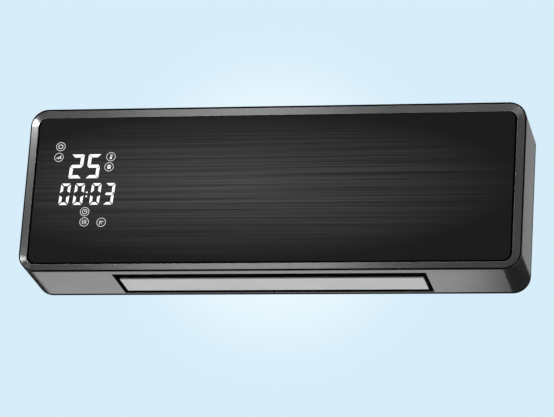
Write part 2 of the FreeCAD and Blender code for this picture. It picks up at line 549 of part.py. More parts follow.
def duct_rear_wall():
    """Scroll behind the wheel, down to the rear edge of the outlet."""
    scroll_r = -10.5 - WHEEL_Y
    path = [
        Part.LineSegment(yz(DUCT_REAR_Y, DUCT_FOOT_Z), around_wheel(scroll_r, 0)).toShape(),
        Part.Arc(around_wheel(scroll_r, 0), around_wheel(scroll_r, 24), around_wheel(scroll_r, 48)).toShape(),
        Part.LineSegment(around_wheel(scroll_r, 48), yz(-18.0, 62.0)).toShape(),
    ]
    nodes["duct_rear_wall"] = sheet_x(path, DUCT_SHEET_T, -DUCT_HALF, DUCT_HALF)


def duct_front_wall():
    """Tongue close to the front of the wheel, down to the front edge of the outlet."""
    tongue_r = WHEEL_R + 3.0
    path = [
        Part.Arc(*(around_wheel(tongue_r, angle) for angle in (178, 194, 210))).toShape(),
        Part.LineSegment(around_wheel(tongue_r, 210), yz(DUCT_FRONT_Y, -34.0)).toShape(),
        Part.LineSegment(yz(DUCT_FRONT_Y, -34.0), yz(DUCT_FRONT_Y, DUCT_FOOT_Z)).toShape(),
    ]
    nodes["duct_front_wall"] = sheet_x(path, DUCT_SHEET_T, -DUCT_HALF, DUCT_HALF)


def duct_plate(side):
    """End plate of the duct, with feet that are screwed to the rear cover."""
    x0, x1 = sorted((side * DUCT_HALF, side * (DUCT_HALF + DUCT_T)))
    profile = [(-62.0, 64.0), (DUCT_FOOT_Y, 64.0), (DUCT_FOOT_Y, DUCT_FOOT_Z), (-54.8, DUCT_FOOT_Z),
               (-54.8, -34.0), (-72.0, 0.0), (-72.0, 40.0)]
    plate = prism_x(profile, x0, x1)
    feet, holes = [], []
    for x, z in DUCT_SCREW_SPOTS:
        if x * side > 0:
            f0, f1 = sorted((side * DUCT_HALF, side * (DUCT_HALF + 14)))
            feet.append(box(f0, f1, DUCT_FOOT_Y, FLOOR_Y0, z - 7, z + 7))
            holes.append(rod("y", DUCT_FOOT_Y, FLOOR_Y0, 1.7, x, z))
    return x0, x1, fuse([plate] + feet), holes


def duct_plates():
    x0, x1, left, holes = duct_plate(-1)
    holes.append(rod("x", x0, x1, BEARING_R, WHEEL_Y, WHEEL_Z))
    holes += tab_blades(0.4)
    nodes["duct_plate_left"] = cut(left, holes)
    x0, x1, right, holes = duct_plate(1)
    holes.append(rod("x", x0, x1, 6.0, WHEEL_Y, WHEEL_Z))
    holes += [rod("x", x0, x1, 1.5, y, z) for y, z in MOTOR_POSTS]
    nodes["duct_plate_right"] = cut(right, holes)
    nodes["duct_screws"] = group(screw("y", DUCT_FOOT_Y, FLOOR_Y1 - 0.2, x, z) for x, z in DUCT_SCREW_SPOTS)


# ---- fan -------------------------------------------------------------------------
def fan_wheel():
    """Cross-flow wheel: a cage of curved blades between ring discs, with a hub at the motor end."""
    x0, x1 = -WHEEL_HALF, WHEEL_HALF
    stations = [x0 + 3 + i * (2 * WHEEL_HALF - 6 - 1.5) / 5 for i in range(6)]
    blades = []
    for i in range(BLADES):
        a = 360.0 * i / BLADES
        blades.append(blade(stations[0], stations[-1] + 1.5, a))
    rings = []
    for i, x in enumerate(stations):
        disc = rod("x", x, x + 1.5, WHEEL_R, WHEEL_Y, WHEEL_Z)
        inner = SHAFT_R if i in (0, 5) else WHEEL_INNER_R - 0.5
        rings.append(disc.cut(rod("x", x, x + 1.5, inner, WHEEL_Y, WHEEL_Z)))
    hub = rod("x", stations[-1] - 14, stations[-1] + 1.5, 8.0, WHEEL_Y, WHEEL_Z)
    hub = hub.cut(rod("x", stations[-1] - 14, stations[-1] + 1.5, SHAFT_R, WHEEL_Y, WHEEL_Z))
    boss = rod("x", stations[0], stations[0] + 10, 6.0, WHEEL_Y, WHEEL_Z)
    boss = boss.cut(rod("x", stations[0], stations[0] + 10, SHAFT_R, WHEEL_Y, WHEEL_Z))
    nodes["fan_wheel"] = fuse(rings + blades + [hub, boss])
    return stations


def blade(x0, x1, degrees):
    """One forward-curved blade: a thin arc between the inner and outer radius, drawn out along X."""
    def at(radius, turn):
        a = math.radians(degrees + turn)
        return V(x0, WHEEL_Y + radius * math.cos(a), WHEEL_Z + radius * math.sin(a))
    outer_r = WHEEL_R - 0.4
    lead = math.degrees(BLADE_T / outer_r)
    middle_r = (WHEEL_INNER_R + outer_r) / 2
    front = Part.Arc(at(WHEEL_INNER_R, 0), at(middle_r, 1.5), at(outer_r, 9)).toShape()
    back = Part.Arc(at(WHEEL_INNER_R, lead * 1.2), at(middle_r, 1.5 + lead), at(outer_r, 9 + lead)).toShape()
    tip = Part.LineSegment(at(outer_r, 9), at(outer_r, 9 + lead)).toShape()
    root = Part.LineSegment(at(WHEEL_INNER_R, 0), at(WHEEL_INNER_R, lead * 1.2)).toShape()
    return Part.Face(Part.Wire(Part.__sortEdges__([front, tip, back, root]))).extrude(V(x1 - x0, 0, 0))


def fan_shafts(stations):
    nodes["fan_stub_shaft"] = rod("x", -DUCT_HALF - DUCT_T - 7, stations[0] + 9, SHAFT_R, WHEEL_Y, WHEEL_Z)
    bush = rod("x", -DUCT_HALF - DUCT_T - 6, -DUCT_HALF - DUCT_T + 2, 5.0, WHEEL_Y, WHEEL_Z)
    bore = rod("x", -DUCT_HALF - 9, -DUCT_HALF + 2, SHAFT_R + RUNNING, WHEEL_Y, WHEEL_Z)
    nodes["wheel_bush"] = bush.cut(bore)
    mount = rod("x", -DUCT_HALF - DUCT_T - 6, -DUCT_HALF, BEARING_R, WHEEL_Y, WHEEL_Z)
    rim = rod("x", -DUCT_HALF - DUCT_T - 6, -DUCT_HALF - DUCT_T, BEARING_R + 3, WHEEL_Y, WHEEL_Z)
    bore = rod("x", -DUCT_HALF - DUCT_T - 6, -DUCT_HALF, 5.0, WHEEL_Y, WHEEL_Z)
    nodes["bearing_rubber"] = cut(fuse([mount, rim]), [bore])
    nodes["motor_shaft"] = rod("x", stations[-1] - 12, MOTOR_X1 + 12, SHAFT_R, WHEEL_Y, WHEEL_Z)
    rotor = rod("x", MOTOR_X0, MOTOR_X1, ROTOR_R, WHEEL_Y, WHEEL_Z)
    nodes["motor_rotor"] = rotor.cut(rod("x", MOTOR_X0, MOTOR_X1, SHAFT_R, WHEEL_Y, WHEEL_Z))


def fan_motor():
    """Shaded-pole motor: laminated core, coil, two bearing brackets and their sintered bushes."""
    y0, y1, z0, z1 = -66.0, -14.0, -34.0, 44.0
    core = box(MOTOR_X0, MOTOR_X1, y0, y1, z0, z1)
    bore = rod("x", MOTOR_X0, MOTOR_X1, ROTOR_R + 0.5, WHEEL_Y, WHEEL_Z)
    window = [box(MOTOR_X0, MOTOR_X1, y0 + 10, -48.0, z0 + 8, -4.0),
              box(MOTOR_X0, MOTOR_X1, -32.0, y1 - 10, z0 + 8, -4.0)]
    slots = [rod("x", MOTOR_X0, MOTOR_X1, 1.6, y, z) for y, z in MOTOR_POSTS]
    nodes["motor_core"] = cut(core, [bore] + window + slots)
    coil = box(MOTOR_X0 - 7, MOTOR_X1 + 7, y0 + 10.2, y1 - 10.2, z0 + 8.4, -4.4)
    limb = box(MOTOR_X0 - 0.1, MOTOR_X1 + 0.1, -48.1, -31.9, z0 + 8.4, -4.4)
    rounded = coil.makeFillet(3.0, [e for e in coil.Edges if 12 < e.Length < 22])
    nodes["motor_coil"] = rounded.cut(limb)
    brackets = []
    for bx, way in ((MOTOR_X0, -1), (MOTOR_X1, 1)):
        strap_x0, strap_x1 = sorted((bx + way * 8, bx + way * (8 + BRACKET_T)))
        strap = prism_x(strap_outline(), strap_x0, strap_x1)
        cup = rod("x", strap_x0, strap_x1, 9.0, WHEEL_Y, WHEEL_Z)
        spacers = [rod("x", *sorted((bx, bx + way * 8)), 3.5, y, z) for y, z in MOTOR_POSTS]
        hole = rod("x", strap_x0, strap_x1, 5.0, WHEEL_Y, WHEEL_Z)
        through = [rod("x", *sorted((bx, bx + way * 10)), 1.6, y, z) for y, z in MOTOR_POSTS]
        brackets.append(cut(fuse([strap, cup] + spacers), [hole] + through))
    nodes["motor_brackets"] = group(brackets)
    bushes = []
    for x0 in (MOTOR_X0 - 11, MOTOR_X1 + 6):
        bush = rod("x", x0, x0 + 5, 5.0, WHEEL_Y, WHEEL_Z)
        bushes.append(bush.cut(rod("x", x0, x0 + 5, SHAFT_R + RUNNING, WHEEL_Y, WHEEL_Z)))
    nodes["motor_bushes"] = group(bushes)
    standoffs = [rod("x", DUCT_HALF + DUCT_T, MOTOR_X0 - 10, 4.0, y, z).cut(
        rod("x", DUCT_HALF + DUCT_T, MOTOR_X0 - 10, 1.6, y, z)) for y, z in MOTOR_POSTS]
    nodes["motor_standoffs"] = group(standoffs)
    nodes["motor_screws"] = group(screw("x", MOTOR_X1 + 10, DUCT_HALF, y, z) for y, z in MOTOR_POSTS)


def strap_outline():
    """Bearing bracket: a bar from one post to the other, with the bearing in its middle."""
    (ya, za), (yb, zb) = MOTOR_POSTS
    length = math.hypot(yb - ya, zb - za)
    uy, uz = (yb - ya) / length, (zb - za) / length
    ny, nz = -uz, uy
    half, over = 6.0, 6.0
    return [(ya - uy * over + ny * half, za - uz * over + nz * half),
            (yb + uy * over + ny * half, zb + uz * over + nz * half),
            (yb + uy * over - ny * half, zb + uz * over - nz * half),
            (ya - uy * over - ny * half, za - uz * over - nz * half)]


# ---- heater -----------------------------------------------------------------------
def ptc_heater():
    """Ceramic heating stones in a flat tube, with folded fins on both sides, held by two end blocks."""
    z0, z1 = PTC_Z0, PTC_Z1
    y = PTC_MIDDLE_Y
    tube = box(-PTC_HALF - 4, PTC_HALF + 4, y - TUBE_HALF, y + TUBE_HALF, z0 + 2, z1 - 2)
    core = box(-PTC_HALF - 4, PTC_HALF + 4, y - TUBE_HALF + 1.2, y + TUBE_HALF - 1.2, z0 + 3.2, z1 - 3.2)
    nodes["heater_tube"] = tube.cut(core)
    starts = [-PTC_HALF + 4 + i * STONE_PITCH for i in range(STONE_COUNT)]
    nodes["ceramic_stones"] = group(box(x, x + STONE_L, y - 1.2, y + 1.2, z0 + 3.4, z1 - 3.4) for x in starts)
    rows = []
    folds = int(2 * PTC_HALF / FIN_PITCH)
    for side in (-1, 1):
        near, far = y + side * (TUBE_HALF + FIN_FOLD / 2), y + side * (FIN_OUT - STRIP_T - FIN_FOLD / 2)
        line = [(-PTC_HALF + i * FIN_PITCH, near if i % 2 else far) for i in range(folds + 1)]
        front = [(px, py - FIN_FOLD / 2) for px, py in line]
        back = [(px, py + FIN_FOLD / 2) for px, py in reversed(line)]
        rows.append(prism_z(front + back, z0, z1))
    nodes["heater_fins"] = group(rows)
    strips = []
    for side in (-1, 1):
        y0, y1 = sorted((y + side * (FIN_OUT - STRIP_T), y + side * FIN_OUT))
        strips.append(box(-PTC_HALF - 2, PTC_HALF + 2, y0, y1, z0, z1))
    nodes["heater_side_strips"] = group(strips)
    holders = []
    for side in (-1, 1):
        x0, x1 = sorted((side * (PTC_HALF + 2), side * DUCT_HALF))
        block = box(x0, x1, DUCT_FRONT_Y + 0.2, DUCT_REAR_Y - 0.2, z0 - 3, z1 + 3)
        holders.append(cut(block, [tube] + tab_blades(0.0)))
    nodes["heater_holders"] = group(holders)
    return tab_blades(0.0)


def tab_blades(gap):
    """The heater's two spade tabs at its left end, made larger all round by gap."""
    x0, x1 = -DUCT_HALF - DUCT_T - 8, -PTC_HALF - 4
    return [box(x0, x1, PTC_MIDDLE_Y + dy - 0.4 - gap, PTC_MIDDLE_Y + dy + 0.4 + gap, TAB_Z - 3 - gap,
                TAB_Z + 3 + gap) for dy in (-2.0, 2.0)]


def outlet_guard():
    """Finger guard between the heater and the louver."""
    z0, z1 = -69.5, -67.5
    y0, y1 = DUCT_FRONT_Y + 0.1, DUCT_REAR_Y - 0.1
    inside = box(-DUCT_HALF + 3, DUCT_HALF - 3, y0 + 3, y1 - 3, z0, z1)
    frame = box(-DUCT_HALF, DUCT_HALF, y0, y1, z0, z1).cut(inside)
    bar_half = DUCT_HALF - 1
    bars = [box(-bar_half, bar_half, y - 0.8, y + 0.8, z0, z1) for y in (-43.5, -35.5, -27.5, -19.5)]
    ties = [box(x - 1, x + 1, y0 + 1, y1 - 1, z0, z1) for x in range(-140, 141, 35)]
    nodes["outlet_guard"] = fuse([frame] + bars + ties)


def safety_devices():
    """Bimetal cut-out and one-shot fuse, clipped to the duct's front wall above the heater."""
    y_face = DUCT_FRONT_Y - 1.8
    body = rod("y", y_face - 9.0, y_face, 8.0, -60.0, -50.0)
    lugs = [box(-60 + dx - 3, -60 + dx + 3, y_face - 15, y_face - 9.0, -50.4, -49.6) for dx in (-4.5, 4.5)]
    nodes["thermal_cutout"] = fuse([body] + lugs)
    barrel = rod("x", 40.0, 52.0, 2.0, y_face - 2.0, -50.0)
    wires = [rod("x", 30.0, 40.0, 0.5, y_face - 2.0, -50.0), rod("x", 52.0, 62.0, 0.5, y_face - 2.0, -50.0)]
    nodes["thermal_fuse"] = fuse([barrel] + wires)


# ---- intake -----------------------------------------------------------------------
def intake():
    """Grille that lifts out of the top with the dust filter clipped under it."""
    gap = 0.2
    x_half, y0, y1 = INTAKE_HALF - gap, INTAKE_Y0 + gap, INTAKE_Y1 - gap
    plate = box(-x_half, x_half, y0, y1, INNER_TOP_Z, TOP_Z)
    middle = (y0 + y1) / 2
    slots = []
    pitch, wide, slots_n = 7.4, 4.0, 50
    for i in range(slots_n):
        x = (i - (slots_n - 1) / 2) * pitch
        slots.append(box(x - wide / 2, x + wide / 2, y0 + 4, middle - 1.5, INNER_TOP_Z, TOP_Z))
        slots.append(box(x - wide / 2, x + wide / 2, middle + 1.5, y1 - 4, INNER_TOP_Z, TOP_Z))
    nodes["intake_grille"] = cut(plate, slots)
    fx, fy0, fy1 = INTAKE_HALF - LEDGE - 0.4, INTAKE_Y0 + LEDGE + 0.4, INTAKE_Y1 - LEDGE - 0.4
    outer = box(-fx, fx, fy0, fy1, INNER_TOP_Z - 3.0, INNER_TOP_Z)
    cell_pitch = (2 * fx - 6) / 4
    cells = []
    for i in range(4):
        x0 = -fx + 3 + i * cell_pitch
        cells.append(box(x0 + 1, x0 + cell_pitch - 1, fy0 + 3, fy1 - 3, INNER_TOP_Z - 3.0, INNER_TOP_Z))
    groove = box(-fx + 1.5, fx - 1.5, fy0 + 1.5, fy1 - 1.5, INNER_TOP_Z - 1.8, INNER_TOP_Z - 1.2)
    nodes["filter_frame"] = cut(outer, cells + [groove])
    nodes["filter_mesh"] = groove


# ---- electrics ----------------------------------------------------------------------
def power_switch():
    """Rocker switch pushed into the left side."""
    y, z = SWITCH_Y, SWITCH_Z
    lip = box(LEFT_X - 2, LEFT_X, y - 7.5, y + 7.5, z - 11, z + 11)
    lip = lip.makeFillet(1.5, [e for e in lip.Edges if abs(e.Length - 2) < 0.01])
    body = box(LEFT_X, LEFT_X + 15, y - 6.3, y + 6.3, z - 9.5, z + 9.5)
    well = box(LEFT_X - 2, LEFT_X + 9, y - 5.2, y + 5.2, z - 8.2, z + 8.2)
    axle_hole = rod("y", y - 5.9, y + 5.9, 1.05, SWITCH_PIVOT_X, z)
    nodes["switch_body"] = cut(fuse([lip, body]), [well, axle_hole])
    px = SWITCH_PIVOT_X
    half = 6.9
    outline = [V(px + 2.5, y - 5.0, z - 3), V(px - 4.4, y - 5.0, z - half), V(px - 6.8, y - 5.0, z - half),
               V(px - 5.4, y - 5.0, z), V(px - 6.8, y - 5.0, z + half), V(px - 4.4, y - 5.0, z + half),
               V(px + 2.5, y - 5.0, z + 3)]
    edges = [Part.LineSegment(outline[i], outline[(i + 1) % 7]).toShape() for i in (0, 1, 4, 5, 6)]
    edges.append(Part.Arc(outline[2], outline[3], outline[4]).toShape())
    rocker = Part.Face(Part.Wire(Part.__sortEdges__(edges))).extrude(V(0, 10.0, 0))
    rocker = rocker.fuse(rod("y", y - 5.8, y + 5.8, 1.0, px, z)).removeSplitter()
    rocker.rotate(V(px, y, z), V(0, 1, 0), SWITCH_TILT)
    nodes["switch_rocker"] = rocker
    return [box(LEFT_X + 15, LEFT_X + 23, y - 2.4, y + 2.4, z + dz - 0.4, z + dz + 0.4) for dz in (-6, 0, 6)]


def cord_gland():
    """Moulded bush for the mains cord, held in a notch between the housing and the rear cover."""
    y, z = GLAND_Y, GLAND_Z
    flange = box(LEFT_X - 1.5, LEFT_X, y - 9.5, SHELL_BACK_Y - 0.2, z - 9.5, z + 9.5)
    neck = box(LEFT_X, LEFT_X + WALL, y - 7.5, SHELL_BACK_Y - 0.2, z - 7.5, z + 7.5)
    inner = box(LEFT_X + WALL, LEFT_X + 12, y - 9.5, FLOOR_Y0 - 0.2, z - 9.5, z + 9.5)
    bore = rod("x", LEFT_X - 1.5, LEFT_X + 12, CORD_R, y, z)
    nodes["cord_gland"] = cut(fuse([flange, neck, inner]), [bore])


def control_board(display_screws):
    """Mains control board on four posts of the rear cover."""
    board = box(BOARD_X0, BOARD_X1, BOARD_Y0, BOARD_Y1, BOARD_Z0, BOARD_Z1)
    nodes["control_board"] = cut(board, [rod("y", BOARD_Y0, BOARD_Y1, 1.4, x, z) for x, z in BOARD_SPOTS])
    board_screws = [screw("y", BOARD_Y0, FLOOR_Y0 - 0.4, x, z, 1.1, 2.2, 1.4) for x, z in BOARD_SPOTS]
    nodes["board_screws"] = group(display_screws + board_screws)
    face = BOARD_Y0
    relay_x = [-240 + i * 17.5 for i in range(3)]
    nodes["relays"] = group(box(x, x + 15, face - 15, face, -30, -10) for x in relay_x)
    winding, core = box(-238, -214, face - 18, face, 24, 48), box(-234, -218, face - 21, face, 20, 52)
    nodes["transformer"] = fuse([winding, core])
    film = box(-206, -196, face - 14, face, 20, 46)
    cans = [rod("y", face - 16, face, r, x, 8) for x, r in ((-236, 4.0), (-226, 4.0), (-214, 3.2))]
    nodes["capacitors"] = group([film] + cans)
    sockets = [box(-204, -190, face - 8, face, -6, 4), box(-204, -190, face - 8, face, 8, 16),
               box(-212, -196, face - 8, face, 54, 60), box(-240, -216, face - 9, face, -46, -36)]
    nodes["board_connectors"] = group(sockets)


def terminal_block():
    """Three-way block where the mains cord ends, on the floor of the left bay."""
    x0, x1, y1 = -246.0, -216.0, FLOOR_Y0
    body = box(x0, x1, y1 - 14, y1, -76, -60)
    holes = [rod("z", -76, -60, 2.0, x0 + 5 + 10 * i, y1 - 6) for i in range(3)]
    screws = [rod("y", y1 - 14, y1 - 8, 2.2, x0 + 5 + 10 * i, -68) for i in range(3)]
    nodes["terminal_block"] = cut(body, holes + screws)


def lead(points, radius, bend):
    """A wire along straight runs joined by tangent arcs."""
    points = [V(*p) for p in points]
    edges, start = [], points[0]
    for i in range(1, len(points) - 1):
        here = points[i]
        into, out = (here - points[i - 1]).normalize(), (points[i + 1] - here).normalize()
        turn = into.getAngle(out)
        back = bend * math.tan(turn / 2)
        first, last = here - into * back, here + out * back
        inward = (out - into).normalize()
        middle = here + inward * (bend / math.cos(turn / 2) - bend)
        edges.append(Part.LineSegment(start, first).toShape())
        edges.append(Part.Arc(first, middle, last).toShape())
        start = last
    edges.append(Part.LineSegment(start, points[-1]).toShape())
    path = Part.Wire(edges)
    direction = points[1] - points[0]
    profile = Part.Wire([Part.makeCircle(radius, points[0], direction)])
    tube = path.makePipeShell([profile], True, False)
    return tube


def leads(tabs):
    """The wires inside: from the relays to the heater, and from the board over the duct to the fan motor."""
    made = []
    for x, tab in zip((-232.5, -215.0), tabs):
        y = (tab.BoundBox.YMin + tab.BoundBox.YMax) / 2
        path = [(tab.BoundBox.XMin, y, TAB_Z), (x, y, TAB_Z), (x, y, -35.0), (x, BOARD_Y0 - 15.0, -35.0)]
        made.append(lead(path, 1.1, 3.0))
    run_z, run_y = 72.0, -64.5
    path = [(206.0, -50.0, 44.0), (206.0, -50.0, run_z), (206.0, run_y, run_z), (-204.0, run_y, run_z),
            (-204.0, BOARD_Y0 - 4.0, run_z), (-204.0, BOARD_Y0 - 4.0, 60.0)]
    made.append(lead(path, 1.5, 2.9))
    nodes["internal_leads"] = group(made)


def main():
    os.makedirs("parts", exist_ok=True)
    front_panel()
    display_spots, display_screws = display_module()
    front_trim()
    panel_carrier(display_spots)
    housing_shell()
    rear_cover()
    wall_plate()
    louver()
    outlet_frame(louver_motor())
    duct_rear_wall()
    duct_front_wall()
    duct_plates()
    stations = fan_wheel()
    fan_shafts(stations)
    fan_motor()
    heater_tabs = ptc_heater()
    outlet_guard()
    safety_devices()
    intake()
    nodes["spade_terminals"] = group(heater_tabs + power_switch())
    cord_gland()
    control_board(display_screws)
    terminal_block()
    leads(heater_tabs)
    for name, shape in nodes.items():
        shape.exportStep(f"parts/{name}.step")
        volume = shape.Volume / 1000
        print(f"{name:20s} solids {len(shape.Solids):3d}  volume {volume:8.2f} cm3  valid {shape.isValid()}")
    print(len(nodes), "nodes")


main()
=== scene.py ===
import json
import math

import bmesh
import bpy
from mathutils import Matrix, Vector


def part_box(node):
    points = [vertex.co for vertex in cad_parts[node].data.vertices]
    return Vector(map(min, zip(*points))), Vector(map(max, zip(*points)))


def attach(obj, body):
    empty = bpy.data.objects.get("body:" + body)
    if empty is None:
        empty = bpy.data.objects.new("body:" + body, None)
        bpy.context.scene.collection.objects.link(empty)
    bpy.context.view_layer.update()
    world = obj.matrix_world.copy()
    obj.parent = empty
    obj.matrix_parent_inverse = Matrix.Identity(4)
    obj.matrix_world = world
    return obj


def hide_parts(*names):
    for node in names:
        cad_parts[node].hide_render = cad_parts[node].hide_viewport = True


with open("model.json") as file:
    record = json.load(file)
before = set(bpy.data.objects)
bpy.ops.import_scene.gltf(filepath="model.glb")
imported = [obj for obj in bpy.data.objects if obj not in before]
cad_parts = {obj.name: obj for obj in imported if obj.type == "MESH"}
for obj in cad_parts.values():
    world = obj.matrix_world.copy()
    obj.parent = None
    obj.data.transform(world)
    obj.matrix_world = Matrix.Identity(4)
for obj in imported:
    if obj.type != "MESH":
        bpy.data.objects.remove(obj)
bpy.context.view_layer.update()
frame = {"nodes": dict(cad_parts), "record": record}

MM = 0.001
SCENE = bpy.context.scene
SLOTS = {part["node"]: part["material_slot"] for part in frame["record"]["subparts"]}
EDGE_RADIUS = 0.0004
BUMP_HEIGHT = 0.0001


def corners(node):
    """Low and high corner of a CAD node's box, in metres."""
    low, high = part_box(node)
    return Vector(low), Vector(high)


# ---- camera ----
TARGET = Vector((8.65, -81.0, -24.1)) * MM
CAMERA_YAW, CAMERA_PITCH, CAMERA_ROLL = 0.22048, -0.34550, 0.066157
CAMERA_DISTANCE, CAMERA_LENS = 3.369, 205.5
BACK = Vector((
    math.sin(CAMERA_YAW) * math.cos(CAMERA_PITCH),
    -math.cos(CAMERA_YAW) * math.cos(CAMERA_PITCH),
    math.sin(CAMERA_PITCH)))


def make_camera():
    """Looks up at the heater from below and a little from its right, with a long lens."""
    right = (-BACK).cross(Vector((0, 0, 1))).normalized()
    up = right.cross(-BACK)
    c, s = math.cos(CAMERA_ROLL), math.sin(CAMERA_ROLL)
    turn = Matrix((right * c + up * s, up * c - right * s, BACK)).transposed()
    camera = bpy.data.cameras.new("camera")
    camera.lens, camera.sensor_width = CAMERA_LENS, 36.0
    camera.clip_start, camera.clip_end = 0.1, 100.0
    holder = bpy.data.objects.new("camera", camera)
    SCENE.collection.objects.link(holder)
    holder.matrix_world = Matrix.Translation(TARGET + BACK * CAMERA_DISTANCE) @ turn.to_4x4()
    SCENE.camera = holder


# ---- lights, floor and background ----
# name: place, point it faces, width, height (all in metres), power in watts, spread in degrees
LIGHTS = {
    "low_front_strip": ((-0.285, -1.180, -0.504), (0.0, -0.08, -0.089), 0.34, 0.12, 0.105, 180),
    "high_front_strip": ((-0.310, -0.840, 0.982), (0.0, -0.08, 0.087), 0.30, 0.12, 0.085, 180),
    "left_fill": ((-1.167, -0.759, 0.520), (-0.26, -0.08, 0.0), 0.20, 0.28, 0.07, 180),
    "corner_spark_high": ((-0.532, -0.281, 0.262), (-0.267, -0.083, 0.078), 0.06, 0.06, 0.023, 60),
    "corner_spark_low": ((-0.532, -0.281, -0.018), (-0.267, -0.083, -0.080), 0.06, 0.06, 0.005, 60),
    "under_back": ((-0.345, 1.150, -0.530), (0.0, -0.04, -0.09), 0.82, 0.40, 0.85, 180),
    "right_back": ((0.442, 1.170, 0.450), (0.27, -0.04, 0.0), 0.26, 0.32, 0.115, 180),
    "front_fill": ((-0.660, -2.940, 1.150), (0.0, -0.08, 0.0), 1.10, 1.10, 27.0, 180),
    "key_right": ((1.260, -1.510, 3.020), (0.0, -0.08, 0.0), 1.30, 1.30, 45.0, 180),
    "overhead": ((0.100, 1.300, 2.700), (0.0, 0.10, -0.60), 1.60, 0.80, 22.0, 180),
    "rear_fill": ((-1.900, 2.700, 1.900), (0.0, 0.0, 0.0), 2.40, 2.00, 26.0, 180),
}


def make_lights():
    for name, (place, aim, width, height, power, spread) in LIGHTS.items():
        light = bpy.data.lights.new(name, "AREA")
        light.shape = "RECTANGLE"
        light.size, light.size_y = width, height
        light.energy, light.spread = power, math.radians(spread)
        holder = bpy.data.objects.new(name, light)
        SCENE.collection.objects.link(holder)
        holder.location = place
        holder.rotation_mode = "QUATERNION"
        holder.rotation_quaternion = (Vector(aim) - Vector(place)).to_track_quat("-Z", "Y")
        holder.visible_camera = False


SEEN_BLUE, SEEN_GLOW = (0.679, 0.847, 0.956), (0.84, 0.95, 1.0)
GLOW_INNER, GLOW_OUTER = 0.015, 0.062
ROOM_TINT = (0.80, 0.82, 0.84, 1.0)
ROOM_FRONT, ROOM_SIDES, ROOM_OVERHEAD = 0.070, 0.32, 2.4
BEHIND_LOW, BEHIND_HIGH = 0.006, 0.35


def make_world():
    """The camera sees pale blue with a soft glow straight ahead. All other rays meet a dim room.

    Its front is even, and brighter low down at both sides. Its back is nearly black low in the middle, and
    brighter high up and at both sides. Straight overhead it is bright all round.
    """
    world = bpy.data.worlds.new("world")
    world.use_nodes = True
    tree = world.node_tree
    tree.nodes.clear()
    place = add(tree, "ShaderNodeTexCoord").outputs["Generated"]
    off = add(tree, "ShaderNodeVectorMath", {"operation": "DISTANCE"}, i0=place, i1=-BACK)
    glow = add(tree, "ShaderNodeMapRange", {"interpolation_type": "SMOOTHERSTEP"}, Value=off.outputs["Value"],
               From_Min=GLOW_INNER, From_Max=GLOW_OUTER, To_Min=1.0, To_Max=0.0)
    colour = tones(tree, glow.outputs["Result"], SEEN_BLUE, SEEN_GLOW)
    seen = add(tree, "ShaderNodeBackground", Color=colour)
    axes = add(tree, "ShaderNodeSeparateXYZ", Vector=place).outputs
    behind = ramp(tree, axes["Y"], -0.25, 0.25)
    high = ramp(tree, axes["Z"], 0.25, 0.60, BEHIND_LOW, BEHIND_HIGH)
    overhead = ramp(tree, axes["Z"], 0.88, 0.97, 0.0, ROOM_OVERHEAD)
    sides = ramp(tree, maths(tree, "ABSOLUTE", axes["X"]), 0.48, 0.62, 0.0, ROOM_SIDES)
    below = ramp(tree, axes["Z"], -0.08, -0.22)
    front = maths(tree, "MULTIPLY_ADD", below, sides, ROOM_FRONT)
    back = maths(tree, "MAXIMUM", high, sides)
    room = add(tree, "ShaderNodeMix", {"data_type": "FLOAT"}, i0=behind, i2=front, i3=back)
    strength = maths(tree, "ADD", room.outputs[0], overhead)
    lit = add(tree, "ShaderNodeBackground", Color=ROOM_TINT, Strength=strength)
    path = add(tree, "ShaderNodeLightPath")
    mix = add(tree, "ShaderNodeMixShader", i0=path.outputs["Is Camera Ray"], i1=lit.outputs["Background"],
              i2=seen.outputs["Background"])
    add(tree, "ShaderNodeOutputWorld", Surface=mix.outputs["Shader"])
    SCENE.world = world
    SCENE.view_settings.view_transform = "Standard"


def make_floor():
    """A pale floor far below. Gloss doesn't mirror it, so the heater's underside stays dark."""
    half, z = 14.0, -1.65
    mesh = bpy.data.meshes.new("floor")
    rim = [(-half, -half, z), (half, -half, z), (half, half, z), (-half, half, z)]
    mesh.from_pydata(rim, [], [(0, 1, 2, 3)])
    mesh.materials.append(finish("floor_pale", (0.74, 0.77, 0.79), 0.85, spread=0.04, grain=60.0, radius=0.0))
    floor = bpy.data.objects.new("floor", mesh)
    SCENE.collection.objects.link(floor)
    floor.visible_glossy = False


# ---- node trees: helpers ----
FLOAT, VECTOR = "NodeSocketFloat", "NodeSocketVector"


def add(tree, kind, settings=(), **sockets):
    """A node. Each socket is named, or i0, i1 ... by number, and takes a value or another node's output."""
    node = tree.nodes.new(kind)
    for key, value in dict(settings).items():
        setattr(node, key, value)
    for key, value in sockets.items():
        numbered = key[0] == "i" and key[1:].isdigit()
        socket = node.inputs[int(key[1:]) if numbered else key.replace("_", " ")]
        if isinstance(value, bpy.types.NodeSocket):
            tree.links.new(value, socket)
        else:
            socket.default_value = value
    return node


def maths(tree, operation, first, second=0.5, third=0.0):
    return add(tree, "ShaderNodeMath", {"operation": operation}, i0=first, i1=second, i2=third).outputs[0]


def ramp(tree, value, start, end, low=0.0, high=1.0):
    """Goes evenly from low to high while value goes from start to end, and stays level outside."""
    node = add(tree, "ShaderNodeMapRange", Value=value, From_Min=start, From_Max=end, To_Min=low, To_Max=high)
    return node.outputs["Result"]


def tones(tree, factor, dark, light):
    """A colour between dark and light by factor; either may be another node's output."""
    def colour(value):
        return value if isinstance(value, bpy.types.NodeSocket) else (*value, 1.0)
    mix = add(tree, "ShaderNodeMix", {"data_type": "RGBA"}, i0=factor, i6=colour(dark), i7=colour(light))
    return mix.outputs[2]


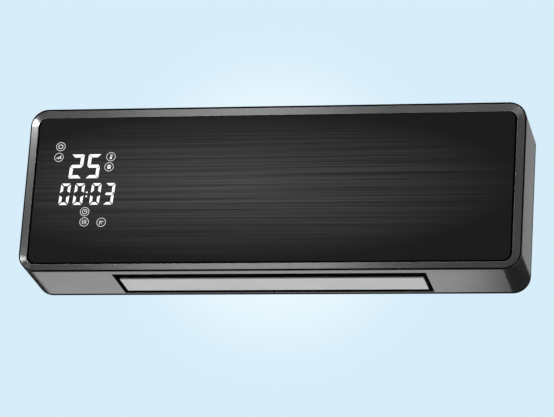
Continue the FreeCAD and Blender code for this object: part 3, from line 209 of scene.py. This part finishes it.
def new_group(name, inputs, outputs, kind="ShaderNodeTree"):
    """An empty node group, with the sockets it is given and the sockets for its result."""
    tree = bpy.data.node_groups.new(name, kind)
    for label, socket_type, value in inputs:
        socket = tree.interface.new_socket(label, in_out="INPUT", socket_type=socket_type)
        if value is not None:
            socket.default_value = value
    for label, socket_type in outputs:
        tree.interface.new_socket(label, in_out="OUTPUT", socket_type=socket_type)
    return tree, tree.nodes.new("NodeGroupInput").outputs, tree.nodes.new("NodeGroupOutput").inputs


# ---- node groups shared by the materials ----
def edge_group():
    """Softened edges: a rounded normal, and a mask that is 1 on worn edges."""
    tree, given, result = new_group(
        "soft_edges", [("Radius", FLOAT, EDGE_RADIUS)], [("Normal", VECTOR), ("Mask", FLOAT)])
    bevel = add(tree, "ShaderNodeBevel", {"samples": 4}, Radius=given["Radius"])
    face = add(tree, "ShaderNodeNewGeometry")
    match = add(tree, "ShaderNodeVectorMath", {"operation": "DOT_PRODUCT"}, i0=bevel.outputs["Normal"],
                i1=face.outputs["Normal"])
    tree.links.new(bevel.outputs["Normal"], result["Normal"])
    tree.links.new(ramp(tree, match.outputs["Value"], 0.995, 0.80), result["Mask"])
    return tree


def grain_group():
    """Fine texture of a moulded or painted surface: a speckle mask and a normal."""
    tree, given, result = new_group("surface_grain", [
        ("Vector", VECTOR, None), ("Scale", FLOAT, 1500.0), ("Depth", FLOAT, 0.2), ("Normal", VECTOR, None)],
        [("Speckle", FLOAT), ("Normal", VECTOR)])
    fine = add(tree, "ShaderNodeTexNoise", Vector=given["Vector"], Scale=given["Scale"], Detail=3.0)
    cells = add(tree, "ShaderNodeTexVoronoi", Vector=given["Vector"], Scale=given["Scale"])
    both = maths(tree, "MULTIPLY", fine.outputs["Fac"], cells.outputs["Distance"])
    bump = add(tree, "ShaderNodeBump", Strength=given["Depth"], Distance=BUMP_HEIGHT, Height=both,
               Normal=given["Normal"])
    tree.links.new(fine.outputs["Fac"], result["Speckle"])
    tree.links.new(bump.outputs["Normal"], result["Normal"])
    return tree


def cloud_group():
    """Slow unevenness of a finish, from low to high."""
    tree, given, result = new_group("slow_variation", [
        ("Vector", VECTOR, None), ("Scale", FLOAT, 12.0), ("Low", FLOAT, 0.0), ("High", FLOAT, 1.0)],
        [("Value", FLOAT)])
    noise = add(tree, "ShaderNodeTexNoise", Vector=given["Vector"], Scale=given["Scale"], Detail=4.0)
    spread = ramp(tree, noise.outputs["Fac"], 0.3, 0.7, given["Low"], given["High"])
    tree.links.new(spread, result["Value"])
    return tree


def hairline_group():
    """Long fine lines along X: a mask of coarse and fine ones together, and a normal."""
    tree, given, result = new_group("hairlines", [
        ("Vector", VECTOR, None), ("Coarse", FLOAT, 520.0), ("Fine", FLOAT, 1000.0), ("Along", FLOAT, 2.4),
        ("Depth", FLOAT, 0.12)], [("Mask", FLOAT), ("Normal", VECTOR)])
    masks = []
    for label in ("Coarse", "Fine"):
        scale = add(tree, "ShaderNodeCombineXYZ", X=given["Along"], Y=1.0, Z=given[label])
        place = add(tree, "ShaderNodeVectorMath", {"operation": "MULTIPLY"}, i0=given["Vector"],
                    i1=scale.outputs["Vector"])
        masks.append(add(tree, "ShaderNodeTexNoise", Vector=place.outputs["Vector"], Scale=1.0, Detail=1.0))
    both = add(tree, "ShaderNodeMix", {"data_type": "FLOAT"}, i0=0.4, i2=masks[0].outputs["Fac"],
               i3=masks[1].outputs["Fac"])
    sharp = ramp(tree, both.outputs[0], 0.38, 0.62)
    bump = add(tree, "ShaderNodeBump", Strength=given["Depth"], Distance=BUMP_HEIGHT, Height=sharp)
    tree.links.new(sharp, result["Mask"])
    tree.links.new(bump.outputs["Normal"], result["Normal"])
    return tree


def oval_group():
    """1 at a centre, falling evenly to 0 on an oval around it; Reach is 1 / half width along each axis."""
    tree, given, result = new_group("oval_fade", [
        ("Vector", VECTOR, None), ("Centre", VECTOR, None), ("Reach", VECTOR, None)], [("Value", FLOAT)])
    off = add(tree, "ShaderNodeVectorMath", {"operation": "SUBTRACT"}, i0=given["Vector"], i1=given["Centre"])
    share = add(tree, "ShaderNodeVectorMath", {"operation": "MULTIPLY"}, i0=off.outputs["Vector"],
                i1=given["Reach"])
    size = add(tree, "ShaderNodeVectorMath", {"operation": "LENGTH"}, i0=share.outputs["Vector"])
    tree.links.new(ramp(tree, size.outputs["Value"], 0.02, 1.0, 1.0, 0.0), result["Value"])
    return tree


EDGES, GRAIN, CLOUD = edge_group(), grain_group(), cloud_group()
HAIRLINES, OVAL = hairline_group(), oval_group()


# ---- materials ----
def blank(name):
    """A new material, its node tree, its shader, and the place on the piece."""
    material = bpy.data.materials.new(name)
    material.use_nodes = True
    tree = material.node_tree
    tree.nodes.clear()
    shader = tree.nodes.new("ShaderNodeBsdfPrincipled")
    add(tree, "ShaderNodeOutputMaterial", Surface=shader.outputs["BSDF"])
    return material, tree, shader, add(tree, "ShaderNodeTexCoord").outputs["Object"]


def use(tree, group, **sockets):
    """Places a shared group in a material and gives its outputs."""
    return add(tree, "ShaderNodeGroup", {"node_tree": group}, **sockets).outputs


def finish(name, colour, roughness, metallic=0.0, spread=0.12, grain=1400.0, depth=0.12, cloud=9.0,
           uneven=0.06, radius=EDGE_RADIUS, wear=0.25, specular=0.5):
    """A moulded, painted or plated finish: fine grain, slow unevenness and slightly rubbed edges."""
    material, tree, shader, place = blank(name)
    edges = use(tree, EDGES, Radius=radius)
    slow = use(tree, CLOUD, Vector=place, Scale=cloud, Low=roughness - uneven, High=roughness + uneven)
    fine = use(tree, GRAIN, Vector=place, Scale=grain, Depth=depth, Normal=edges["Normal"])
    dark = tuple(c * (1 - spread) for c in colour)
    light = tuple(min(1.0, c * (1 + spread)) for c in colour)
    rubbed = tuple(min(1.0, c * 1.35 + 0.01) for c in colour)
    body = tones(tree, fine["Speckle"], dark, light)
    worn = maths(tree, "MULTIPLY", edges["Mask"], wear)
    tree.links.new(tones(tree, worn, body, rubbed), shader.inputs["Base Color"])
    tree.links.new(slow["Value"], shader.inputs["Roughness"])
    tree.links.new(fine["Normal"], shader.inputs["Normal"])
    shader.inputs["Metallic"].default_value = metallic
    shader.inputs["Specular IOR Level"].default_value = specular
    return material


def panel_material():
    """Near-black gloss panel with a print of fine hairlines and black sides; a painted sheen makes the lines
    brightest around the middle.
    """
    ground, sides = (0.0062, 0.0072, 0.0067), (0.0006, 0.0006, 0.0006)
    line_dark, line_light = (0.036, 0.037, 0.036), (0.110, 0.111, 0.110)
    # Centre and half width and height of the painted sheen, in metres: an oval where the hairlines show
    # brightest, standing in for a light's reflection.
    centre, sheen_half_wide, sheen_half_tall = (-0.032, 0.0, 0.001), 0.306, 0.085
    material, tree, shader, place = blank("panel_hairline_black_painted_sheen")
    lines = use(tree, HAIRLINES, Vector=place)
    # Painted sheen: 1 in the middle of the panel, dimming to 0 at the oval's edge.
    painted_sheen = use(tree, OVAL, Vector=place, Centre=centre, Reach=(1 / sheen_half_wide, 0.0, 1 / sheen_half_tall))
    slow = use(tree, CLOUD, Vector=place, Scale=6.0, Low=0.42, High=0.48)
    line = tones(tree, lines["Mask"], line_dark, line_light)
    face = add(tree, "ShaderNodeSeparateXYZ", Vector=add(tree, "ShaderNodeNewGeometry").outputs["Normal"])
    front = ramp(tree, face.outputs["Y"], -0.3, -0.9)
    # The hairline print shows at full strength only in the middle; this painted sheen dims it to the plain
    # ground towards the panel's edges.
    hairlines_in_painted_sheen = tones(tree, painted_sheen["Value"], ground, line)
    tree.links.new(tones(tree, front, sides, hairlines_in_painted_sheen), shader.inputs["Base Color"])
    tree.links.new(slow["Value"], shader.inputs["Roughness"])
    tree.links.new(lines["Normal"], shader.inputs["Normal"])
    shader.inputs["Specular IOR Level"].default_value = 0.07
    return material


def lit_material(name, strength):
    """Lit white part of the display, very slightly uneven."""
    material, tree, shader, place = blank(name)
    slow = use(tree, CLOUD, Vector=place, Scale=180.0, Low=0.0, High=1.0)
    glow = tones(tree, slow["Value"], (0.94, 0.97, 1.0), (1.0, 1.0, 1.0))
    tree.links.new(glow, shader.inputs["Emission Color"])
    shader.inputs["Base Color"].default_value = (0.2, 0.2, 0.2, 1.0)
    shader.inputs["Emission Strength"].default_value = strength
    return material


def switch_material():
    """Gloss black with a white ring and bar, the usual off and on marks of a rocker switch."""
    material = finish("switch_gloss_black", (0.012, 0.012, 0.012), 0.22, grain=1500.0, depth=0.06, spread=0.2)
    tree = material.node_tree
    shader = next(node for node in tree.nodes if node.type == "BSDF_PRINCIPLED")
    from_middle, ring, bar, stroke = 3.9 * MM, 1.35 * MM, 1.5 * MM, 0.25 * MM
    low, high = corners("switch_rocker")
    middle = (low + high) / 2
    place = add(tree, "ShaderNodeTexCoord").outputs["Object"]
    flat = add(tree, "ShaderNodeVectorMath", {"operation": "MULTIPLY"}, i0=place, i1=(0.0, 1.0, 1.0))
    marks = []
    for sign in (-1, 1):
        spot = (0.0, middle.y, middle.z + sign * from_middle)
        off = add(tree, "ShaderNodeVectorMath", {"operation": "SUBTRACT"}, i0=flat.outputs["Vector"], i1=spot)
        if sign < 0:
            size = add(tree, "ShaderNodeVectorMath", {"operation": "LENGTH"}, i0=off.outputs["Vector"])
            marks.append(maths(tree, "COMPARE", size.outputs["Value"], ring, stroke))
        else:
            axes = add(tree, "ShaderNodeSeparateXYZ", Vector=off.outputs["Vector"])
            wide = maths(tree, "COMPARE", axes.outputs["Y"], 0.0, stroke)
            tall = maths(tree, "COMPARE", axes.outputs["Z"], 0.0, bar)
            marks.append(maths(tree, "MULTIPLY", wide, tall))
    black = shader.inputs["Base Color"].links[0].from_socket
    either = maths(tree, "MAXIMUM", marks[0], marks[1])
    tree.links.new(tones(tree, either, black, (0.75, 0.75, 0.74)), shader.inputs["Base Color"])
    return material


def make_materials():
    """One finish for each material slot of the record."""
    return {
        "panel_black": panel_material(),
        "display_white": lit_material("display_lit_white", 1.0),
        "bezel_silver": finish("trim_satin_silver", (0.50, 0.50, 0.50), 0.20, 0.95, 0.05, 2600.0, 0.04,
                               uneven=0.02, radius=EDGE_RADIUS / 2, wear=0.05),
        "housing_silver": finish("housing_satin_grey", (0.365, 0.362, 0.362), 0.27, 0.92, 0.05, 2400.0, 0.03,
                                 uneven=0.02),
        "cover_grey": finish("cover_textured_black", (0.014, 0.014, 0.015), 0.62, 0.0, 0.3, 900.0, 0.6,
                             specular=0.0),
        "louver_grey": finish("louver_satin_grey", (0.88, 0.875, 0.87), 0.30, 0.72, 0.03, 2200.0, 0.06,
                              uneven=0.02),
        "outlet_black": finish("black_matte_moulding", (0.0030, 0.0030, 0.0030), 0.6, 0.0, 0.4, 1200.0, 0.2,
                               wear=0.3, specular=0.0),
        "zinc_steel": finish("zinc_plated_steel", (0.60, 0.61, 0.62), 0.34, 1.0, 0.10, 260.0, 0.08,
                             cloud=30.0, uneven=0.05),
        "core_steel": finish("motor_lamination_steel", (0.26, 0.26, 0.27), 0.42, 1.0, 0.20, 700.0, 0.25),
        "bright_steel": finish("ground_shaft_steel", (0.68, 0.68, 0.69), 0.20, 1.0, 0.05, 1800.0, 0.06),
        "copper_winding": finish("varnished_copper_wire", (0.42, 0.12, 0.03), 0.35, 0.6, 0.25, 1500.0, 0.5),
        "bronze": finish("sintered_bronze", (0.50, 0.32, 0.14), 0.45, 1.0, 0.20, 1600.0, 0.4),
        "aluminium_fin": finish("bare_fin_aluminium", (0.78, 0.79, 0.80), 0.34, 1.0, 0.08, 800.0, 0.10),
        "ceramic": finish("heating_stone_ceramic", (0.20, 0.19, 0.18), 0.75, 0.0, 0.2, 1500.0, 0.5),
        "duct_plastic": finish("duct_dark_moulding", (0.040, 0.040, 0.042), 0.52, 0.0, 0.15, 1200.0, 0.3),
        "fan_plastic": finish("fan_dark_moulding", (0.055, 0.055, 0.060), 0.46, 0.0, 0.12, 1200.0, 0.2),
        "nylon_white": finish("natural_nylon", (0.78, 0.77, 0.72), 0.48, 0.0, 0.05, 1100.0, 0.2),
        "rubber_black": finish("soft_black_rubber", (0.018, 0.018, 0.018), 0.72, 0.0, 0.25, 1300.0, 0.5),
        "board_green": finish("board_green_mask", (0.015, 0.13, 0.055), 0.30, 0.0, 0.15, 500.0, 0.15),
        "relay_blue": finish("relay_blue_case", (0.02, 0.07, 0.28), 0.35, 0.0, 0.06, 900.0, 0.15),
        "component_dark": finish("component_dark_sleeve", (0.025, 0.025, 0.027), 0.40, 0.0, 0.2, 900.0, 0.2),
        "mesh_dark": finish("filter_nylon_thread", (0.045, 0.045, 0.046), 0.60, 0.0, 0.2, 2200.0, 0.3,
                            radius=0.0),
        "switch_black": switch_material(),
        "lead_sleeve": finish("red_silicone_sleeve", (0.36, 0.02, 0.02), 0.50, 0.0, 0.1, 1200.0, 0.2),
        "tape_black": finish("foam_tape_black", (0.002, 0.002, 0.002), 0.85, 0.0, 0.3, 900.0, 0.6,
                             specular=0.02),
        "guard_steel": finish("guard_black_coating", (0.020, 0.020, 0.021), 0.45, 0.3, 0.15, 1500.0, 0.2),
    }


def dress_frame(materials):
    """Gives every CAD node the finish of its slot; the small marks glow a little less than the digits."""
    marks = lit_material("display_lit_marks", 0.78)
    for node, holder in frame["nodes"].items():
        material = marks if node == "display_icons" else materials[SLOTS[node]]
        if not holder.material_slots:
            holder.data.materials.append(material)
        for slot in holder.material_slots:
            slot.material = material


# ---- pieces that repeat, grown by Geometry Nodes ----
def grow(tree, values, start=None):
    """Runs a Geometry Nodes tree over the mesh start and gives back the result as a plain mesh."""
    source = bpy.data.objects.new("source", start or bpy.data.meshes.new("start"))
    SCENE.collection.objects.link(source)
    modifier = source.modifiers.new("grow", "NODES")
    modifier.node_group = tree
    for item in tree.interface.items_tree:
        if item.item_type == "SOCKET" and item.in_out == "INPUT" and item.name in values:
            modifier[item.identifier] = values[item.name]
    graph = bpy.context.evaluated_depsgraph_get()
    mesh = bpy.data.meshes.new_from_object(source.evaluated_get(graph), depsgraph=graph)
    bpy.data.objects.remove(source)
    return mesh


def piece(name, meshes, node):
    """Joins the meshes into one visual piece that stands for a CAD node and moves with its body."""
    joined = bmesh.new()
    for mesh in meshes:
        joined.from_mesh(mesh)
    bmesh.ops.remove_doubles(joined, verts=joined.verts, dist=1e-7)
    bmesh.ops.recalc_face_normals(joined, faces=joined.faces)
    result = bpy.data.meshes.new(name)
    joined.to_mesh(result)
    joined.free()
    result.materials.clear()
    result.materials.append(MATERIALS[SLOTS[node]])
    for face in result.polygons:
        face.material_index = 0
    holder = bpy.data.objects.new(name, result)
    SCENE.collection.objects.link(holder)
    bodies = frame["record"]["behaviour"]["bodies"]
    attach(holder, next(body for body, nodes in bodies.items() if node in nodes))
    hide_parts(node)


def bars_tree():
    """Straight bars with rounded edges, in columns and rows."""
    tree, given, result = new_group("bars_in_rows", [
        ("Geometry", "NodeSocketGeometry", None), ("Length", FLOAT, 0.02), ("Width", FLOAT, 0.003),
        ("Height", FLOAT, 0.002), ("Round", FLOAT, 0.0005), ("Round Steps", "NodeSocketInt", 3),
        ("Columns", "NodeSocketInt", 1), ("Column Step", VECTOR, None), ("Rows", "NodeSocketInt", 1),
        ("Row Step", VECTOR, None), ("First", VECTOR, None), ("Turn", "NodeSocketRotation", None),
        ("Material", "NodeSocketMaterial", None)], [("Geometry", "NodeSocketGeometry")], "GeometryNodeTree")
    half = maths(tree, "MULTIPLY", given["Length"], 0.5)
    start = add(tree, "ShaderNodeCombineXYZ", Y=maths(tree, "MULTIPLY", half, -1.0))
    end = add(tree, "ShaderNodeCombineXYZ", Y=half)
    line = add(tree, "GeometryNodeCurvePrimitiveLine", Start=start.outputs["Vector"],
               End=end.outputs["Vector"])
    outline = add(tree, "GeometryNodeCurvePrimitiveQuadrilateral", Width=given["Width"],
                  Height=given["Height"])
    soft = add(tree, "GeometryNodeFilletCurve", {"mode": "POLY"}, Curve=outline.outputs["Curve"],
               Radius=given["Round"], Count=given["Round Steps"])
    bar = add(tree, "GeometryNodeCurveToMesh", Curve=line.outputs["Curve"],
              Profile_Curve=soft.outputs["Curve"], Fill_Caps=True)
    placed = bar.outputs["Mesh"]
    for count, step in (("Columns", "Column Step"), ("Rows", "Row Step")):
        spots = add(tree, "GeometryNodeMeshLine", {"mode": "OFFSET"}, Count=given[count],
                    Offset=given[step])
        on = add(tree, "GeometryNodeInstanceOnPoints", Points=spots.outputs["Mesh"], Instance=placed)
        placed = on.outputs["Instances"]
        if count == "Columns":
            tree.links.new(given["Turn"], on.inputs["Rotation"])
    real = add(tree, "GeometryNodeRealizeInstances", Geometry=placed)
    moved = add(tree, "GeometryNodeSetPosition", Geometry=real.outputs["Geometry"], Offset=given["First"])
    done = add(tree, "GeometryNodeSetMaterial", Geometry=moved.outputs["Geometry"],
               Material=given["Material"])
    tree.links.new(done.outputs["Geometry"], result["Geometry"])
    return tree


def bars(node, first, size, columns=(1, (0, 0, 0)), rows=(1, (0, 0, 0)), soft=0.4, steps=2, turn=(0, 0, 0)):
    """Bars along Y (before the turn) as length, width and height; columns and rows are how many and the step.

    All in millimetres; soft is the rounding of the long edges, and steps how finely it is made.
    """
    length, width, height = size
    return grow(BARS, {
        "Length": length * MM, "Width": width * MM, "Height": height * MM,
        "Round": soft * MM, "Round Steps": steps,
        "Columns": columns[0], "Column Step": tuple(v * MM for v in columns[1]),
        "Rows": rows[0], "Row Step": tuple(v * MM for v in rows[1]),
        "First": tuple(v * MM for v in first), "Turn": turn, "Material": MATERIALS[SLOTS[node]]})


ALONG_X = (0.0, 0.0, math.pi / 2)


def intake_grille():
    """Border, middle rail and two rows of slats with rounded top edges, a little below the border."""
    node = "intake_grille"
    low, high = (corner / MM for corner in corners(node))
    middle, tall = (low + high) / 2, high.z - low.z
    slats, pitch, slot, rail, border = 49, 7.4, 4.0, 3.0, 4.0
    sunk, tuck, end_sunk = 0.5, 1.0, 0.02
    end = (high.x - low.x - slats * pitch - slot) / 2
    deep = (high.y - low.y - 2 * border - rail) / 2
    long_rails = [(low.y + border / 2, border), (middle.y, rail), (high.y - border / 2, border)]
    made = [bars(node, (middle.x, y, middle.z), (high.x - low.x, width, tall), soft=0.6, steps=3,
                 turn=ALONG_X) for y, width in long_rails]
    made.append(bars(node, (low.x + end / 2, middle.y, middle.z), (high.y - low.y, end, tall - end_sunk),
                     (2, (high.x - low.x - end, 0, 0)), soft=0.6, steps=3))
    first = (middle.x - (slats - 1) / 2 * pitch, low.y + border + deep / 2, middle.z - sunk / 2)
    made.append(bars(node, first, (deep + tuck, pitch - slot, tall - sunk), (slats, (pitch, 0, 0)),
                     (2, (0, deep + rail, 0)), soft=0.7, steps=3))
    piece("grille_slats", made, node)


def filter_mesh():
    """Woven sheet of crossing nylon threads."""
    node = "filter_mesh"
    low, high = (corner / MM for corner in corners(node))
    middle, step, thread = (low + high) / 2, 1.5, 0.28
    wide, deep = high.x - low.x, high.y - low.y
    across, along = int(wide / step), int(deep / step)
    made = [bars(node, (low.x + step / 2, middle.y, middle.z - thread / 2), (deep, thread, thread),
                 (across, (step, 0, 0)), soft=0.1, steps=1),
            bars(node, (middle.x, low.y + step / 2, middle.z + thread / 2), (wide, thread, thread),
                 (along, (0, step, 0)), soft=0.1, steps=1, turn=ALONG_X)]
    piece("filter_threads", made, node)


def outlet_guard():
    """Frame of flat strip with round bars and ties welded across it."""
    node = "outlet_guard"
    low, high = (corner / MM for corner in corners(node))
    middle, tall = (low + high) / 2, high.z - low.z
    wide, deep = high.x - low.x, high.y - low.y
    strip, bar, tie, inset = 3.0, 1.6, 1.4, 2.0
    bars_in, bar_step, bar_drop = 9.4, 8.0, 0.2
    ties, tie_step, tie_rise = 9, 35.0, 0.3
    made = [bars(node, (middle.x, low.y + strip / 2, middle.z), (wide, strip, tall),
                 (2, (0, deep - strip, 0)), turn=ALONG_X),
            bars(node, (low.x + strip / 2, middle.y, middle.z), (deep, strip, tall),
                 (2, (wide - strip, 0, 0))),
            bars(node, (middle.x, low.y + bars_in, middle.z - bar_drop), (wide - inset, bar, bar),
                 (4, (0, bar_step, 0)), soft=0.75, steps=4, turn=ALONG_X),
            bars(node, (middle.x - (ties - 1) / 2 * tie_step, middle.y, middle.z + tie_rise),
                 (deep - inset, tie, tie), (ties, (tie_step, 0, 0)), soft=0.65, steps=4)]
    piece("guard_bars", made, node)


def fins_tree():
    """A folded strip: points in a row, every second one moved across, swept upright and thickened."""
    tree, given, result = new_group("folded_strip", [
        ("Geometry", "NodeSocketGeometry", None), ("Folds", "NodeSocketInt", 100), ("Step", VECTOR, None),
        ("Across", FLOAT, 0.01), ("Tall", FLOAT, 0.018), ("Sheet", FLOAT, 0.0002), ("First", VECTOR, None),
        ("Material", "NodeSocketMaterial", None)], [("Geometry", "NodeSocketGeometry")], "GeometryNodeTree")
    row = add(tree, "GeometryNodeMeshLine", {"mode": "OFFSET"}, Count=given["Folds"], Offset=given["Step"])
    index = add(tree, "GeometryNodeInputIndex")
    odd = maths(tree, "MODULO", index.outputs["Index"], 2.0)
    shift = add(tree, "ShaderNodeCombineXYZ", Y=maths(tree, "MULTIPLY", odd, given["Across"]))
    bent = add(tree, "GeometryNodeSetPosition", Geometry=row.outputs["Mesh"], Offset=shift.outputs["Vector"])
    path = add(tree, "GeometryNodeMeshToCurve", Mesh=bent.outputs["Geometry"])
    top = add(tree, "ShaderNodeCombineXYZ", Y=given["Tall"])
    profile = add(tree, "GeometryNodeCurvePrimitiveLine", End=top.outputs["Vector"])
    sheet = add(tree, "GeometryNodeCurveToMesh", Curve=path.outputs["Curve"],
                Profile_Curve=profile.outputs["Curve"])
    thick = add(tree, "GeometryNodeExtrudeMesh", {"mode": "FACES"}, Mesh=sheet.outputs["Mesh"],
                Offset_Scale=given["Sheet"], Individual=False)
    real = add(tree, "GeometryNodeRealizeInstances", Geometry=thick.outputs["Mesh"])
    moved = add(tree, "GeometryNodeSetPosition", Geometry=real.outputs["Geometry"], Offset=given["First"])
    done = add(tree, "GeometryNodeSetMaterial", Geometry=moved.outputs["Geometry"],
               Material=given["Material"])
    tree.links.new(done.outputs["Geometry"], result["Geometry"])
    return tree


def heater_fins():
    """Two rows of closely folded aluminium strip, one on each side of the heater's tube."""
    node = "heater_fins"
    low, high = corners(node)
    tube_low, tube_high = corners("heater_tube")
    step, sheet, gap, room = 1.1 * MM, 0.2 * MM, 0.1 * MM, 0.3 * MM
    folds = int((high.x - low.x - sheet) / step)
    strip = fins_tree()
    meshes = []
    for y0, y1 in ((low.y, tube_low.y), (tube_high.y, high.y)):
        mesh = grow(strip, {
            "Folds": folds, "Step": (step, 0.0, 0.0), "Across": y1 - y0 - room, "Tall": high.z - low.z,
            "Sheet": sheet, "Material": MATERIALS[SLOTS[node]]})
        made_low = Vector(min(v.co[i] for v in mesh.vertices) for i in range(3))
        mesh.transform(Matrix.Translation(Vector((low.x + sheet, y0 + gap, low.z)) - made_low))
        meshes.append(mesh)
    piece("folded_fins", meshes, node)


def screw_tree():
    """A screw set on each point and turned about its own length by a random angle from a fixed seed."""
    tree, given, result = new_group("heads_on_points", [
        ("Geometry", "NodeSocketGeometry", None), ("Head", "NodeSocketObject", None),
        ("Seed", "NodeSocketInt", 5), ("Material", "NodeSocketMaterial", None)],
        [("Geometry", "NodeSocketGeometry")], "GeometryNodeTree")
    head = add(tree, "GeometryNodeObjectInfo", Object=given["Head"])
    angle = add(tree, "FunctionNodeRandomValue", Seed=given["Seed"])
    angle.data_type = "FLOAT_VECTOR"
    angle.inputs[0].default_value = (0.0, 0.0, 0.0)
    angle.inputs[1].default_value = (0.0, math.pi, 0.0)
    on = add(tree, "GeometryNodeInstanceOnPoints", Points=given["Geometry"],
             Instance=head.outputs["Geometry"])
    tree.links.new(angle.outputs[0], on.inputs["Rotation"])
    real = add(tree, "GeometryNodeRealizeInstances", Geometry=on.outputs["Instances"])
    done = add(tree, "GeometryNodeSetMaterial", Geometry=real.outputs["Geometry"],
               Material=given["Material"])
    tree.links.new(done.outputs["Geometry"], result["Geometry"])
    return tree


def turned(profile, steps=20):
    """A solid of revolution round Y from (radius, y) points in millimetres, first and last on the axis."""
    solid = bmesh.new()
    rings = []
    for radius, y in profile:
        if radius == 0:
            rings.append([solid.verts.new((0, y * MM, 0))] * steps)
            continue
        angles = (2 * math.pi * i / steps for i in range(steps))
        ring = [(radius * math.cos(a) * MM, y * MM, radius * math.sin(a) * MM) for a in angles]
        rings.append([solid.verts.new(spot) for spot in ring])
    for lower, upper in zip(rings, rings[1:]):
        for i in range(steps):
            j = (i + 1) % steps
            loop = list(dict.fromkeys((lower[i], lower[j], upper[j], upper[i])))
            solid.faces.new(loop)
    bmesh.ops.recalc_face_normals(solid, faces=solid.faces)
    mesh = bpy.data.meshes.new("turned")
    solid.to_mesh(mesh)
    solid.free()
    return mesh


HEAD_TALL = 2.0


def cross_head(length):
    """Pan-head screw along Y with its head at +Y, its seat at 0 and a cross recess; in millimetres."""
    slot, reach, depth, centre = 0.55, 2.9, 1.8, 1.7
    body = bpy.data.objects.new("screw_body", turned([
        (0, -length), (0.6, -length), (1.5, -length + 1.6), (1.5, 0), (2.8, 0), (2.8, 0.7), (2.65, 1.2),
        (2.2, 1.65), (1.4, 1.92), (0, HEAD_TALL)]))
    cutter_mesh = bpy.data.meshes.new("cross")
    cross = bmesh.new()
    for wide, deep in ((slot, reach), (reach, slot)):
        size = Matrix.Diagonal((wide * MM, depth * MM, deep * MM, 1.0))
        bmesh.ops.create_cube(cross, size=1.0, matrix=Matrix.Translation((0, centre * MM, 0)) @ size)
    cross.to_mesh(cutter_mesh)
    cross.free()
    cutter = bpy.data.objects.new("cross", cutter_mesh)
    for holder in (body, cutter):
        SCENE.collection.objects.link(holder)
    boolean = body.modifiers.new("recess", "BOOLEAN")
    boolean.operation, boolean.solver = "DIFFERENCE", "EXACT"
    boolean.use_self, boolean.object = True, cutter
    graph = bpy.context.evaluated_depsgraph_get()
    mesh = bpy.data.meshes.new_from_object(body.evaluated_get(graph), depsgraph=graph)
    for holder in (body, cutter):
        bpy.data.objects.remove(holder)
    return mesh


def islands(node):
    """Low and high corner of each separate solid of a CAD node; corners that meet within a micron are one."""
    mesh = frame["nodes"][node].data
    spots, parent = {}, []
    ids = []
    for vertex in mesh.vertices:
        key = tuple(round(c * 1e6) for c in vertex.co)
        if key not in spots:
            spots[key] = len(parent)
            parent.append(len(parent))
        ids.append(spots[key])

    def root(i):
        while parent[i] != i:
            parent[i] = parent[parent[i]]
            i = parent[i]
        return i
    for edge in mesh.edges:
        a, b = (root(ids[v]) for v in edge.vertices)
        parent[a] = b
    groups = {}
    for key, i in spots.items():
        groups.setdefault(root(i), []).append(key)
    return [tuple(Vector(pick(k[axis] for k in keys) for axis in range(3)) * 1e-6 for pick in (min, max))
            for keys in groups.values()]


def cover_screws():
    """Cross-head screws of the rear cover."""
    node = "cover_screws"
    solids = islands(node)
    seat = solids[0][1].y - HEAD_TALL * MM
    points = bpy.data.meshes.new("screw_spots")
    points.from_pydata([((low.x + high.x) / 2, seat, (low.z + high.z) / 2) for low, high in solids], [], [])
    head = bpy.data.objects.new("screw_head", cross_head((seat - solids[0][0].y) / MM))
    SCENE.collection.objects.link(head)
    made = grow(screw_tree(), {"Head": head, "Seed": 7, "Material": MATERIALS[SLOTS[node]]}, points)
    bpy.data.objects.remove(head)
    piece("rear_screws", [made], node)


make_camera()
make_world()
MATERIALS = make_materials()
make_lights()
make_floor()
dress_frame(MATERIALS)
BARS = bars_tree()
intake_grille()
filter_mesh()
outlet_guard()
heater_fins()
cover_screws()
